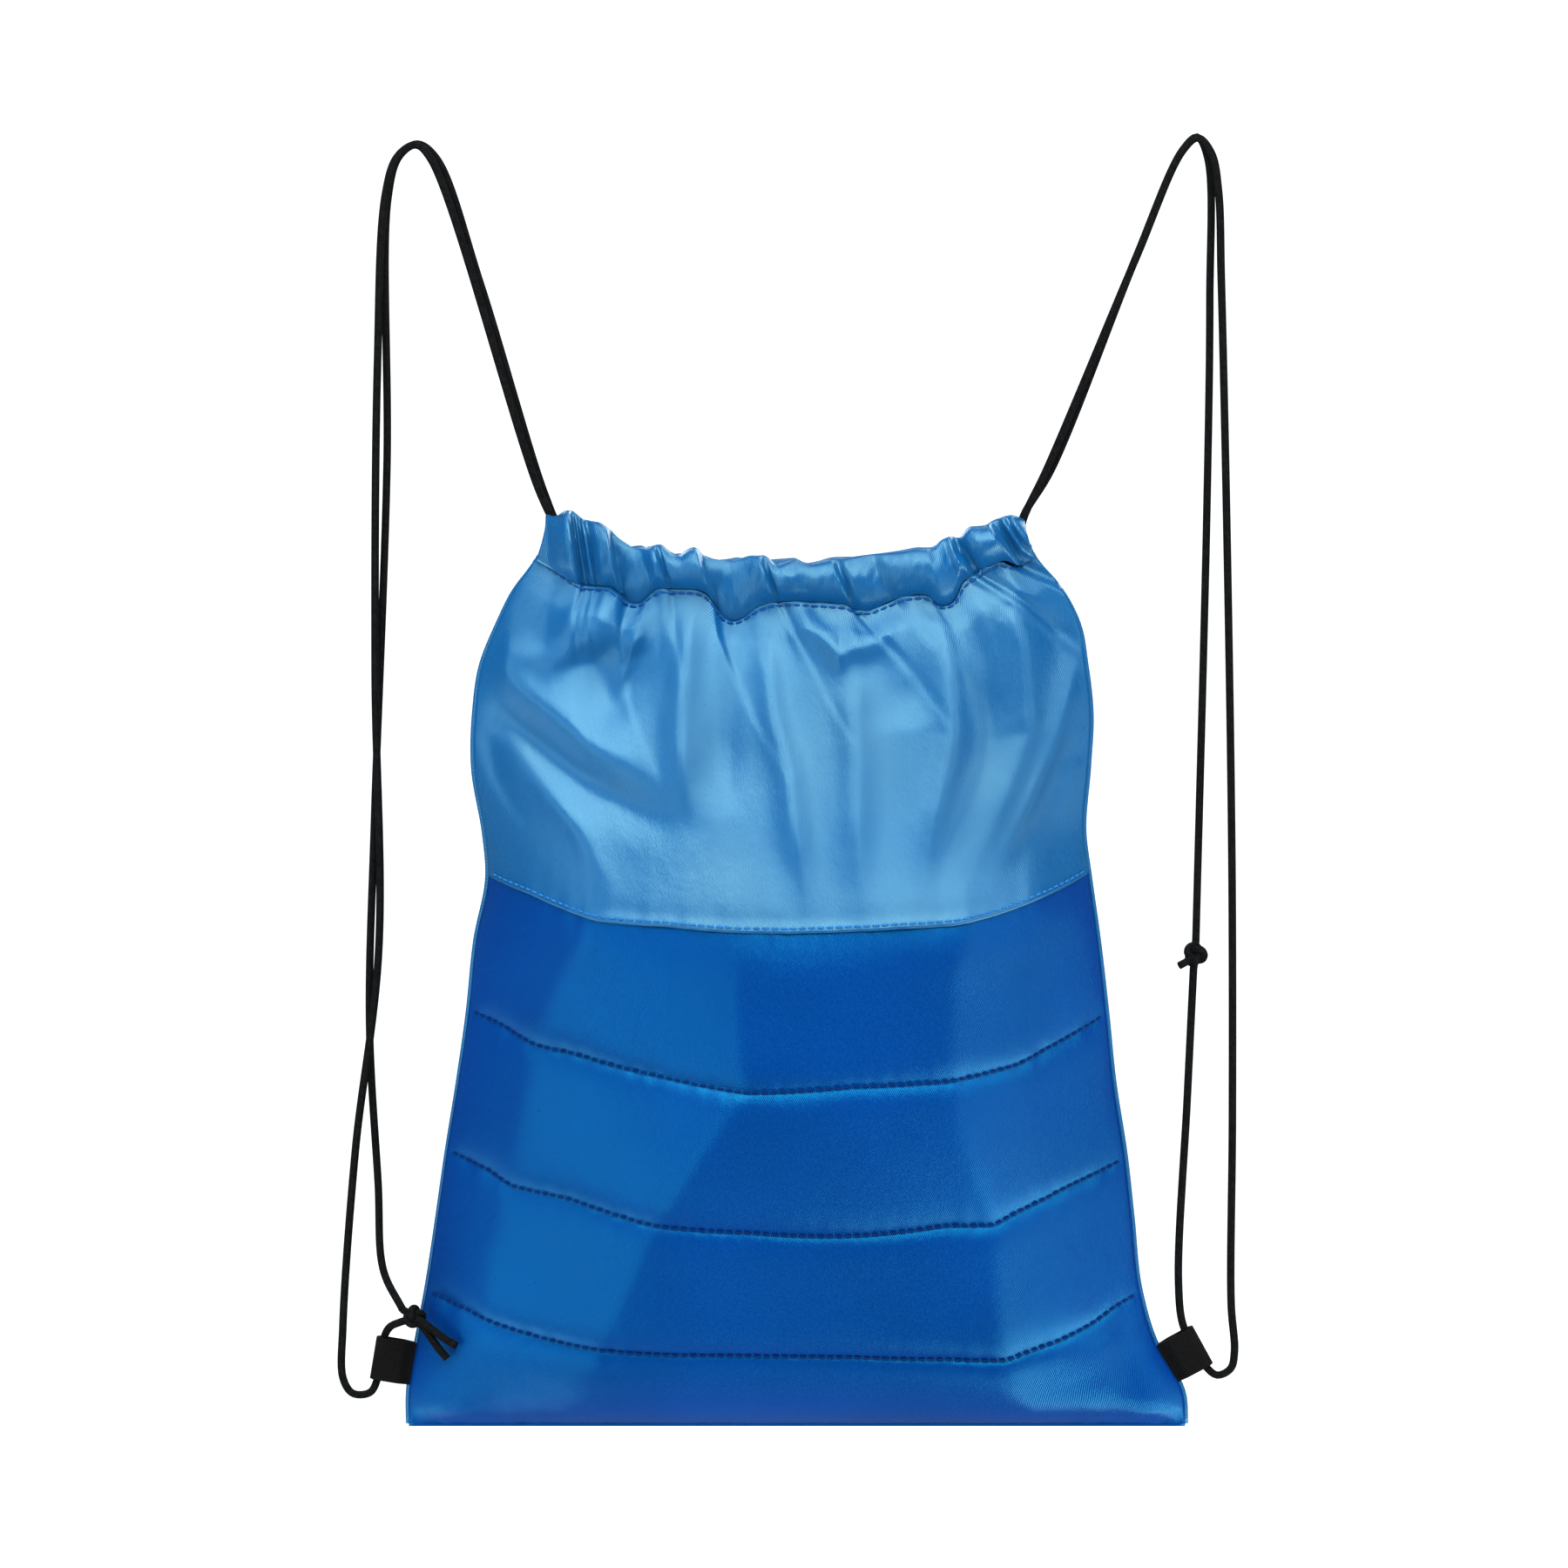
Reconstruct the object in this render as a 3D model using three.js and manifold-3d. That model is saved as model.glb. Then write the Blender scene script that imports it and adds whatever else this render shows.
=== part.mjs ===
// A soft drawstring sack, worn as a backpack, with a quilted lower front. Two long cords run
// through its gathered mouth and down to webbing tabs in its lower corners, and serve as
// shoulder straps. It hangs by its two cord loops.
// Millimetres. X runs to the right for someone who faces the front, Y from front to back, Z up.
// The origin lies midway between the two loops, just under their tops.
import * as THREE from 'three'
import { mergeVertices } from 'three/addons/utils/BufferGeometryUtils.js'
import Module from 'manifold-3d'

const wasm = await Module()
wasm.setup()

const { lerp, clamp } = THREE.MathUtils

const bag = {
  height: 420, // bottom seam to mouth corner, up the side seam
  width: 360, // bottom seam, laid flat
  axisX: -5, // middle of the bottom seam
  mouthDrop: 172, // origin down to the mouth corners
  frontBulge: 73,
  backBulge: 46,
  sag: 26, // how far the middle of a row hangs below its ends
}
const cloth = { wall: 1.2, gap: 0.3 }
const quilt = { seamWall: 1.8, puff: 6, liningPuff: 2 }
const hem = {
  height: 18,
  shoulder: 6, // half height of the flat part of the casing's section
  wall: 1.2,
  cavity: 6.6, // room for the two cords, front to back, where a gather is tightest
  gather: 4.5, // how far a full gather stands out
  rimWave: 2, // how far a full gather rises over the rim
  reach: 0.96, // share of the rim that the casing covers
  slitDepth: 4.6, // the casing is open towards the mouth past this depth, near its ends
  slitLength: 18,
  ruffleReach: 95, // how far the gathers run down into the panels
}
const tab = { webbing: 20, ply: 1.2, reach: 19, taper: 6, height: 28 }
const cord = { diameter: 3.6, clearance: 0.4, steps: 80, sides: 8 }
const fold = { lift: 7, spread: 14 }

const bottomZ = -bag.mouthDrop - bag.height
const stitchHeight = bag.height - hem.height

// Sections from the bottom seam to the mouth. height is a share of bag.height, left and right of
// half its width, front and back of the two bulges, and dip of the sag. round and droop are the
// powers that shape the bulge and the dip between the side seams: low is round, high is boxy.
const sections = [
  { height: 0, left: 0.998, right: 0.998, front: 0, back: 0, dip: 0, round: 5, droop: 4 },
  { height: 0.033, left: 0.998, right: 0.993, front: 0.26, back: 0.3, dip: 0.25, round: 4.5, droop: 4 },
  { height: 0.09, left: 0.976, right: 0.92, front: 0.55, back: 0.6, dip: 0.6, round: 3.6, droop: 3.4 },
  { height: 0.146, left: 0.951, right: 0.881, front: 0.72, back: 0.76, dip: 0.81, round: 3, droop: 3 },
  { height: 0.231, left: 0.92, right: 0.858, front: 0.87, back: 0.92, dip: 0.96, round: 2.3, droop: 2.3 },
  { height: 0.299, left: 0.897, right: 0.84, front: 0.96, back: 1, dip: 1, round: 2, droop: 1.9 },
  { height: 0.381, left: 0.866, right: 0.81, front: 1, back: 1, dip: 0.96, round: 2.1, droop: 2 },
  { height: 0.458, left: 0.84, right: 0.791, front: 0.99, back: 0.97, dip: 0.92, round: 2.2, droop: 2.1 },
  { height: 0.538, left: 0.82, right: 0.769, front: 0.94, back: 0.94, dip: 0.8, round: 2.5, droop: 2.5 },
  { height: 0.613, left: 0.788, right: 0.744, front: 0.85, back: 0.9, dip: 0.68, round: 3, droop: 3 },
  { height: 0.655, left: 0.796, right: 0.731, front: 0.8, back: 0.86, dip: 0.69, round: 2.9, droop: 2.9 },
  { height: 0.731, left: 0.824, right: 0.742, front: 0.68, back: 0.75, dip: 0.72, round: 2.8, droop: 2.8 },
  { height: 0.788, left: 0.821, right: 0.748, front: 0.57, back: 0.65, dip: 0.73, round: 2.8, droop: 2.6 },
  { height: 0.846, left: 0.8, right: 0.733, front: 0.45, back: 0.54, dip: 0.74, round: 3, droop: 2.4 },
  { height: 0.886, left: 0.762, right: 0.716, front: 0.36, back: 0.46, dip: 0.74, round: 3.4, droop: 2.3 },
  { height: 0.924, left: 0.718, right: 0.671, front: 0.27, back: 0.37, dip: 0.73, round: 3.8, droop: 2.2 },
  { height: 0.957, left: 0.662, right: 0.604, front: 0.192, back: 0.304, dip: 0.73, round: 4, droop: 2.2 },
  { height: 1, left: 0.64, right: 0.591, front: 0.192, back: 0.304, dip: 0.73, round: 4, droop: 2.2 },
]

// Heights of the sewn lines of the quilted front, from the bottom seam to the seam that joins
// it to the plain upper front, as shares of bag.height.
const quiltLines = [0, 0.146, 0.299, 0.458, 0.613]

// How full each gather of the mouth is, from left to right, as a share of hem.gather.
const frontGathers = [1, 0.6, 0.9, 0.5, 0.7, 0.45, 0.8, 0.5, 0.75, 0.6, 1, 0.8]
const backGathers = [0.7, 0.9, 0.5, 0.8, 0.6, 0.9, 0.45, 0.8, 0.7, 0.5, 0.9, 0.7]

// Long folds of the plain cloth. across runs from -1 at the left seam to 1 at the right, up from 0
// at the foot of the panel to 1 at the mouth. lift and spread are shares of fold.lift and fold.spread,
// and a negative lift is a valley.
const frontFolds = [
  { across: -0.96, up: 1, toAcross: -0.95, toUp: 0.72, lift: 0.7, spread: 0.7 },
  { across: -0.86, up: 1, toAcross: -0.88, toUp: 0.78, lift: -0.8, spread: 0.7 },
  { across: -0.97, up: 0.71, toAcross: -0.44, toUp: 0.47, lift: 0.9, spread: 0.8 },
  { across: -0.89, up: 0.52, toAcross: -0.42, toUp: 0.33, lift: -0.7, spread: 0.7 },
  { across: -0.74, up: 0.79, toAcross: -0.56, toUp: 0.67, lift: -0.6, spread: 0.7 },
  { across: -0.56, up: 0.67, toAcross: -0.37, toUp: 0.92, lift: -0.7, spread: 0.7 },
  { across: -0.38, up: 0.9, toAcross: -0.32, toUp: 0.41, lift: 0.6, spread: 0.6 },
  { across: -0.24, up: 0.95, toAcross: -0.19, toUp: 0.5, lift: -0.9, spread: 0.6 },
  { across: -0.18, up: 0.95, toAcross: 0.04, toUp: 0.3, lift: 0.7, spread: 0.6 },
  { across: 0.22, up: 0.84, toAcross: 0.26, toUp: 0.3, lift: 0.8, spread: 0.7 },
  { across: 0.44, up: 1, toAcross: 0.42, toUp: 0.78, lift: -0.8, spread: 0.8 },
  { across: 0.6, up: 0.93, toAcross: 0.54, toUp: 0.27, lift: 0.7, spread: 0.6 },
  { across: 0.74, up: 1, toAcross: 0.72, toUp: 0.8, lift: -0.7, spread: 0.7 },
  { across: 0.88, up: 1, toAcross: 0.85, toUp: 0.72, lift: 0.6, spread: 0.6 },
  { across: 0.96, up: 0.55, toAcross: 0.77, toUp: 0.2, lift: 0.6, spread: 0.7 },
]
const backFolds = [
  { across: -0.7, up: 0.95, toAcross: -0.35, toUp: 0.55, lift: 0.7, spread: 1 },
  { across: -0.3, up: 0.95, toAcross: -0.25, toUp: 0.6, lift: -0.7, spread: 0.9 },
  { across: 0.1, up: 0.95, toAcross: 0.15, toUp: 0.5, lift: 0.8, spread: 1 },
  { across: 0.45, up: 0.95, toAcross: 0.35, toUp: 0.6, lift: -0.7, spread: 0.9 },
  { across: 0.75, up: 0.95, toAcross: 0.5, toUp: 0.55, lift: 0.6, spread: 1 },
  { across: -0.9, up: 0.3, toAcross: -0.5, toUp: 0.2, lift: -0.5, spread: 1.2 },
  { across: 0.9, up: 0.3, toAcross: 0.5, toUp: 0.2, lift: -0.5, spread: 1.2 },
]

// Middle lines of the cords, from one end at the knot to the other: through the tab, up and over
// the hanging point, through the front casing, back through the rear one and down to the knot.
const leftRoute = [
  [-187.5, -9.5, -542.5], [-193, -4, -546], [-195.7, -0.4, -551], [-197.2, 0, -559],
  [-199.2, 0, -571.5], [-202.6, -0.3, -577.6], [-210.4, -0.8, -578], [-214.9, -1.3, -571],
  [-214.9, -2, -546], [-208.6, -2.1, -463], [-197.4, -2.1, -370], [-198.4, -2.1, -240],
  [-196.6, -2.1, -100], [-192.6, -2.1, -22], [-187, -2.1, -4.5], [-178.6, -2.1, 0.8],
  [-171.6, -2.1, -6], [-122, -2.2, -160], [-113.5, -3.6, -175], [-101, -7.2, -184.3],
  [-5, -14.4, -196.8], [78, -8.4, -185.4], [85.5, -5, -184.8], [85.5, 5, -184.8],
  [78, 8.4, -185.4], [-5, 14.4, -196.8], [-101, 7.2, -184.3], [-113.5, 3.6, -175],
  [-120.4, 2.2, -160], [-149.6, 2.1, -63], [-169.2, 2.1, -6], [-178, 2.1, 0.8],
  [-186.2, 2.1, -4.5], [-191.6, 2.1, -24], [-192.6, 2.1, -145], [-199.2, 2.1, -310],
  [-202, 2.1, -405], [-198.4, 2.1, -480], [-196.2, 0.5, -520], [-187, -9, -537],
]
const rightRoute = [
  [177.5, 0, -378.9], [174.9, 0, -440], [171.3, 0, -525], [173.6, 0, -546.2],
  [178.9, 0, -556], [184, -0.1, -565.2], [189.4, -0.5, -569.4], [195.6, -1.1, -566.2],
  [197.3, -1.6, -558], [195.6, -2.1, -535], [195.7, -2.1, -450], [194.8, -2.1, -330],
  [191.6, -2.1, -175], [188.4, -2.1, -60], [186.9, -2.1, -20], [183.6, -2.1, -3],
  [177.4, -2.1, 4], [170.4, -2.1, -2], [149.4, -2.1, -51], [109, -2.2, -148],
  [99, -2.6, -169], [94.5, -4.2, -183], [83, -7.4, -190.3], [-5, -14.4, -203.2],
  [-95, -8.4, -191.6], [-103, -5, -191], [-103, 5, -191], [-95, 8.4, -191.6],
  [-5, 14.4, -203.2], [83, 7.4, -190.3], [94.5, 4.2, -183], [99, 2.6, -169],
  [111.4, 2.2, -148], [149.6, 2.1, -51], [170.6, 2.1, -2], [177.4, 2.1, 4],
  [182.2, 2.1, -6], [183.4, 2.1, -70], [182.6, 2.1, -165], [178.5, 0, -366.1],
]

// Each knot is a few turns of cord about one middle, and its tails run from there to their ends.
const leftKnot = {
  centre: [-181.5, -10.5, -540],
  turns: [{ radius: 4, tilt: 0.5, lean: 0.3 }, { radius: 3.6, tilt: -0.7, lean: -0.5 }],
  tails: [[-161.8, -22, -551.5], [-166.2, -19.8, -557.8]],
}
const rightKnot = {
  centre: [178.2, 0, -372.5],
  turns: [{ radius: 4.4, tilt: 1.3, lean: 0.3 }, { radius: 4.2, tilt: 1.9, lean: -0.5 }],
  tails: [[170.8, -4.5, -377]],
}

const frontSide = { sign: -1, column: 'front', bulge: bag.frontBulge, gathers: frontGathers, stepsToGather: 4 }
const backSide = { sign: 1, column: 'back', bulge: bag.backBulge, gathers: backGathers, stepsToGather: 2 }

const cloths = {
  upper: { color: '#3d8fcb', roughness: 0.62, metalness: 0 },
  quilted: { color: '#0b57a8', roughness: 0.62, metalness: 0 },
  webbing: { color: '#18191b', roughness: 0.8, metalness: 0 },
  cord: { color: '#1b2224', roughness: 0.75, metalness: 0 },
}

function evenly(from, to, count) {
  return Array.from({ length: count + 1 }, (_, i) => lerp(from, to, i / count))
}

function sectionAt(height) {
  const share = clamp(height / bag.height, 0, 1)
  const above = Math.max(1, sections.findIndex((row) => row.height >= share))
  const low = sections[above - 1]
  const high = sections[above]
  const t = (share - low.height) / (high.height - low.height)
  const columns = Object.keys(low).map((name) => [name, lerp(low[name], high[name], t)])
  return Object.fromEntries(columns)
}

// A point of a panel: across is -1 at the left seam and 1 at the right, height is measured up the
// side seam, and lift is how far the point stands out from the panel's plain form.
function sheetPoint(side, across, height, lift) {
  const row = sectionAt(height)
  const x = bag.axisX + (lerp(-row.left, row.right, (across + 1) / 2) * bag.width) / 2
  const z = bottomZ + height - row.dip * bag.sag * (1 - Math.abs(across) ** row.droop)
  const depth = row[side.column] * side.bulge * (1 - Math.abs(across) ** row.round)
  return new THREE.Vector3(x, side.sign * (cloth.gap / 2 + depth + lift), z)
}

function signedVolume(position, index) {
  const [a, b, c] = [new THREE.Vector3(), new THREE.Vector3(), new THREE.Vector3()]
  let sum = 0
  for (let i = 0; i < index.length; i += 3) {
    a.fromBufferAttribute(position, index[i])
    b.fromBufferAttribute(position, index[i + 1])
    c.fromBufferAttribute(position, index[i + 2])
    sum += a.dot(b.cross(c))
  }
  return sum
}

// A closed mesh from points and quads, with its faces turned outwards.
function solidGeometry(points, quads) {
  const geometry = new THREE.BufferGeometry().setFromPoints(points)
  const index = quads.flatMap(([a, b, c, d]) => [a, b, c, a, c, d])
  if (signedVolume(geometry.attributes.position, index) < 0) index.reverse()
  geometry.setIndex(index)
  return geometry
}

// A cloth wall between two sheets of points, closed round its four edges.
function wallGeometry(inner, outer) {
  const rows = outer.length
  const columns = outer[0].length
  const behind = rows * columns
  const at = (j, i) => j * columns + i
  const quads = []
  for (let j = 0; j + 1 < rows; j++) {
    for (let i = 0; i + 1 < columns; i++) {
      const cell = [at(j, i), at(j, i + 1), at(j + 1, i + 1), at(j + 1, i)]
      quads.push(cell, cell.map((k) => k + behind).reverse())
    }
  }
  const across = [...Array(columns).keys()]
  const up = [...Array(rows).keys()]
  const edge = [
    ...across.map((i) => at(0, i)),
    ...up.slice(1).map((j) => at(j, columns - 1)),
    ...across.slice(0, -1).reverse().map((i) => at(rows - 1, i)),
    ...up.slice(1, -1).reverse().map((j) => at(j, 0)),
  ]
  edge.forEach((p, k) => {
    const q = edge[(k + 1) % edge.length]
    quads.push([q, p, p + behind, q + behind])
  })
  return solidGeometry([...outer.flat(), ...inner.flat()], quads)
}

// How much a sheet leans away from facing straight forward, as the factor by which a wall of
// even thickness is deeper when measured along Y.
function lean(sheet, j, i) {
  const row = (k) => sheet[clamp(k, 0, sheet.length - 1)]
  const along = row(j)[Math.min(i + 1, row(j).length - 1)].clone().sub(row(j)[Math.max(i - 1, 0)])
  const rise = row(j + 1)[i].clone().sub(row(j - 1)[i])
  const normal = along.cross(rise).normalize()
  return Math.min(1 / Math.abs(normal.y), 2)
}

function panelGeometry(side, acrossSteps, heights, lift, thickness) {
  const inner = heights.map((height) =>
    acrossSteps.map((across) => sheetPoint(side, across, height, lift(across, height))))
  const outer = inner.map((row, j) => row.map((point, i) => {
    const depth = thickness(acrossSteps[i], heights[j]) * lean(inner, j, i)
    return point.clone().setY(point.y + side.sign * depth)
  }))
  return wallGeometry(inner, outer)
}

// The columns of points follow the gathers, and there is one more at each side seam.
function gatherSteps(side) {
  return evenly(-hem.reach, hem.reach, side.stepsToGather * side.gathers.length)
}

function gatherAt(side, across) {
  const place = ((across / hem.reach + 1) / 2) * side.gathers.length
  const size = side.gathers[clamp(Math.floor(place), 0, side.gathers.length - 1)]
  const inside = Math.abs(across) <= hem.reach
  return inside ? (size * (1 - Math.cos(2 * Math.PI * place))) / 2 : 0
}

function ruffle(side, across, height) {
  const fade = clamp(1 - (stitchHeight - height) / hem.ruffleReach, 0, 1)
  return hem.gather * gatherAt(side, across) * fade ** 1.5
}

function foldLift(folds, across, height, foot) {
  const halfWidth = bag.width / 2
  const rise = stitchHeight - foot
  const point = new THREE.Vector3(across * halfWidth, height, 0)
  const fade = 1 - Math.abs(across) ** 12
  return folds.reduce((sum, row) => {
    const from = new THREE.Vector3(row.across * halfWidth, foot + row.up * rise, 0)
    const to = new THREE.Vector3(row.toAcross * halfWidth, foot + row.toUp * rise, 0)
    const near = new THREE.Line3(from, to).closestPointToPoint(point, true, new THREE.Vector3())
    const away = near.distanceTo(point) / (row.spread * fold.spread)
    return sum + row.lift * fold.lift * Math.exp(-(away ** 2)) * fade
  }, 0)
}

// The quilted front swells between its sewn lines, more outwards than in.
function bandSwell(across, height) {
  const lines = quiltLines.map((share) => share * bag.height)
  const above = Math.max(1, lines.findIndex((line) => line >= height - 1e-6))
  const t = (height - lines[above - 1]) / (lines[above] - lines[above - 1])
  return Math.max(0, Math.sin(Math.PI * t)) ** 0.7 * (1 - Math.abs(across) ** 6)
}

// Heights of the rows of points from one height to another: every section between them, with
// each step between two sections cut into so many pieces.
function rowHeights(from, to, pieces) {
  const between = sections.map((row) => row.height * bag.height).filter((h) => h > from && h < to)
  const marks = [from, ...between, to]
  return marks.slice(1).reduce((rows, mark, i) => [...rows, ...evenly(marks[i], mark, pieces).slice(1)], [from])
}

function quiltedFront() {
  const top = quiltLines.at(-1) * bag.height
  const swellIn = (across, height) => -quilt.liningPuff * bandSwell(across, height)
  const thickness = (across, height) =>
    quilt.seamWall + (quilt.puff + quilt.liningPuff) * bandSwell(across, height)
  return panelGeometry(frontSide, evenly(-1, 1, 24), rowHeights(0, top, 2), swellIn, thickness)
}

function upperFront() {
  const foot = quiltLines.at(-1) * bag.height + cloth.gap
  const lift = (across, height) => {
    const settled = foldLift(frontFolds, across, height, foot) * clamp((height - foot) / fold.spread, 0, 1)
    return Math.max(settled, -fold.lift) + ruffle(frontSide, across, height)
  }
  const heights = evenly(foot, stitchHeight - cloth.gap, 8)
  return panelGeometry(frontSide, [-1, ...gatherSteps(frontSide), 1], heights, lift, () => cloth.wall)
}

function backPanel() {
  const lift = (across, height) => {
    const settled = foldLift(backFolds, across, height, 0) * clamp(height / fold.spread, 0, 1)
    return settled + ruffle(backSide, across, height)
  }
  const heights = rowHeights(0, stitchHeight - cloth.gap, 1)
  return panelGeometry(backSide, [-1, ...gatherSteps(backSide), 1], heights, lift, () => cloth.wall)
}

function toSolid(geometry) {
  const bare = geometry.clone()
  bare.deleteAttribute('normal')
  bare.deleteAttribute('uv')
  const merged = mergeVertices(bare, 1e-4)
  return new wasm.Manifold(new wasm.Mesh({
    numProp: 3,
    vertProperties: merged.attributes.position.array,
    triVerts: new Uint32Array(merged.index.array),
  }))
}

function fromSolid(solid) {
  const { vertProperties, triVerts } = solid.getMesh()
  const geometry = new THREE.BufferGeometry()
  geometry.setAttribute('position', new THREE.BufferAttribute(vertProperties, 3))
  geometry.setIndex(new THREE.BufferAttribute(triVerts, 1))
  return geometry
}

// A smooth line through its points that shares its steps evenly between them, so that tight
// bends, where the points are close, get as many steps as long straight runs.
class Route extends THREE.CatmullRomCurve3 {
  getPointAt(t, target) {
    return this.getPoint(t, target)
  }
  getTangentAt(t, target) {
    return this.getTangent(t, target)
  }
  getSpacedPoints(divisions) {
    return this.getPoints(divisions)
  }
}

function roundShape(radius, sides) {
  const corners = evenly(0, 2 * Math.PI, sides).slice(0, -1)
  return new THREE.Shape(corners.map((a) => new THREE.Vector2(radius * Math.cos(a), radius * Math.sin(a))))
}

function tubeGeometry(points, radius, steps, sides) {
  const route = new Route(points.map((point) => new THREE.Vector3(...point)))
  return new THREE.ExtrudeGeometry(roundShape(radius, sides), { steps, extrudePath: route })
}

function cordGeometry(points) {
  return tubeGeometry(points, cord.diameter / 2, cord.steps, cord.sides)
}

// Six corners round the casing's section, as distances out from the mouth and up. A gather
// pushes the outer side out and the rim up.
function casingRing(side, across, inset) {
  const full = gatherAt(side, across)
  const half = hem.cavity / 2 + hem.wall - inset
  const top = hem.height / 2 - 1.4 * inset
  const shoulder = hem.shoulder - inset / 2
  const out = half + hem.gather * full
  const middle = (hem.gather * full) / 3
  const stitched = sheetPoint(side, across, stitchHeight, 0)
  const corner = (outwards, up) => new THREE.Vector3(
    stitched.x,
    stitched.y + side.sign * outwards,
    stitched.z + hem.height / 2 + up,
  )
  return [
    corner(-half, -shoulder),
    corner(-half, shoulder),
    corner(middle, top + hem.rimWave * full),
    corner(out, shoulder),
    corner(out, -shoulder),
    corner(middle, -top),
  ]
}

function casingGeometry(side) {
  const outer = gatherSteps(side).map((across) => casingRing(side, across, 0))
  const inner = gatherSteps(side).map((across) => casingRing(side, across, hem.wall))
  const corners = outer[0].length
  const behind = outer.length * corners
  const at = (ring, k) => ring * corners + (k % corners)
  const quads = []
  for (let k = 0; k < corners; k++) {
    for (let ring = 0; ring + 1 < outer.length; ring++) {
      const cell = [at(ring, k), at(ring + 1, k), at(ring + 1, k + 1), at(ring, k + 1)]
      quads.push(cell, cell.map((n) => n + behind).reverse())
    }
    const last = outer.length - 1
    quads.push([at(0, k + 1), at(0, k + 1) + behind, at(0, k) + behind, at(0, k)])
    quads.push([at(last, k), at(last, k) + behind, at(last, k + 1) + behind, at(last, k + 1)])
  }
  return solidGeometry([...outer.flat(), ...inner.flat()], quads)
}

// Near both ends the casing is open towards the mouth, where the cords turn and come out.
function casing(side) {
  let solid = toSolid(casingGeometry(side))
  for (const end of [-hem.reach, hem.reach]) {
    const tip = sheetPoint(side, end, stitchHeight, 0)
    const tall = 4 * hem.height
    const slit = new THREE.BoxGeometry(2 * hem.slitLength, tall, tall)
    slit.translate(tip.x, side.sign * (hem.slitDepth - tall / 2), tip.z)
    solid = solid.subtract(toSolid(slit))
  }
  for (const points of [leftRoute, rightRoute]) {
    const room = cord.diameter / 2 + cord.clearance
    solid = solid.subtract(toSolid(tubeGeometry(points, room, cord.steps, cord.sides)))
  }
  return fromSolid(solid)
}

// Webbing folded round the cord, its two plies sewn together where they meet the seam.
function tabGeometry() {
  const inside = cord.diameter / 2 + cord.clearance
  const outside = inside + tab.ply
  const roundX = tab.reach - outside
  const outline = new THREE.Shape()
  outline.moveTo(0, -tab.ply)
  outline.lineTo(tab.taper, -outside)
  outline.absarc(roundX, 0, outside, -Math.PI / 2, Math.PI / 2)
  outline.lineTo(tab.taper, outside)
  outline.lineTo(0, tab.ply)
  const hole = new THREE.Path()
  hole.moveTo(tab.taper / 2, 0)
  hole.lineTo(tab.taper, -inside)
  hole.absarc(roundX, 0, inside, -Math.PI / 2, Math.PI / 2)
  hole.lineTo(tab.taper, inside)
  outline.holes.push(hole)
  const geometry = new THREE.ExtrudeGeometry(outline, {
    depth: tab.webbing,
    bevelEnabled: false,
    curveSegments: 8,
  })
  return geometry.translate(cloth.gap, 0, -tab.webbing / 2)
}

// A tab stands square to its stretch of the side seam, just clear of it where the seam curves.
function placeTab(mesh, across) {
  const half = tab.webbing / 2
  const seam = evenly(-half, half, 8).map((up) => sheetPoint(frontSide, across, tab.height + up, 0).setY(0))
  const slant = Math.atan2(Math.abs(seam[0].x - seam.at(-1).x), seam.at(-1).z - seam[0].z)
  const outwards = new THREE.Vector3(across * Math.cos(slant), 0, Math.sin(slant))
  const middle = seam[0].clone().lerp(seam.at(-1), 0.5)
  const proud = Math.max(...seam.map((point) => point.clone().sub(middle).dot(outwards)))
  mesh.position.copy(middle.addScaledVector(outwards, proud))
  mesh.rotation.y = across > 0 ? -slant : slant - Math.PI
}

function knotGeometry(knot) {
  const radius = cord.diameter / 2
  const turns = knot.turns.map((turn) => {
    const ring = new THREE.TorusGeometry(turn.radius, radius, 6, 10)
    ring.rotateX(turn.tilt).rotateY(turn.lean).translate(...knot.centre)
    return toSolid(ring)
  })
  const core = new THREE.SphereGeometry(knot.turns[0].radius, 8, 6).translate(...knot.centre)
  const tails = knot.tails.map((end) => toSolid(tubeGeometry([knot.centre, end], radius, 2, cord.sides)))
  return fromSolid([...turns, ...tails].reduce((sum, piece) => sum.add(piece), toSolid(core)))
}

function piece(name, geometry, finish) {
  const mesh = new THREE.Mesh(geometry, new THREE.MeshStandardMaterial(finish))
  mesh.name = name
  group.add(mesh)
  return mesh
}

const group = new THREE.Group()
piece('upper_front', upperFront(), cloths.upper)
piece('quilted_front', quiltedFront(), cloths.quilted)
piece('back_panel', backPanel(), cloths.quilted)
piece('hem_front', casing(frontSide), cloths.upper)
piece('hem_back', casing(backSide), cloths.upper)
placeTab(piece('tab_left', tabGeometry(), cloths.webbing), -1)
placeTab(piece('tab_right', tabGeometry(), cloths.webbing), 1)
piece('drawcord_left', cordGeometry(leftRoute), cloths.cord)
piece('drawcord_right', cordGeometry(rightRoute), cloths.cord)
piece('knot_left', knotGeometry(leftKnot), cloths.cord)
piece('knot_right', knotGeometry(rightKnot), cloths.cord)

export default group
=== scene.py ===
from math import cos, pi, radians, sin, tau

import bmesh
import bpy
import numpy as np
from mathutils import Matrix, Vector


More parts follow.
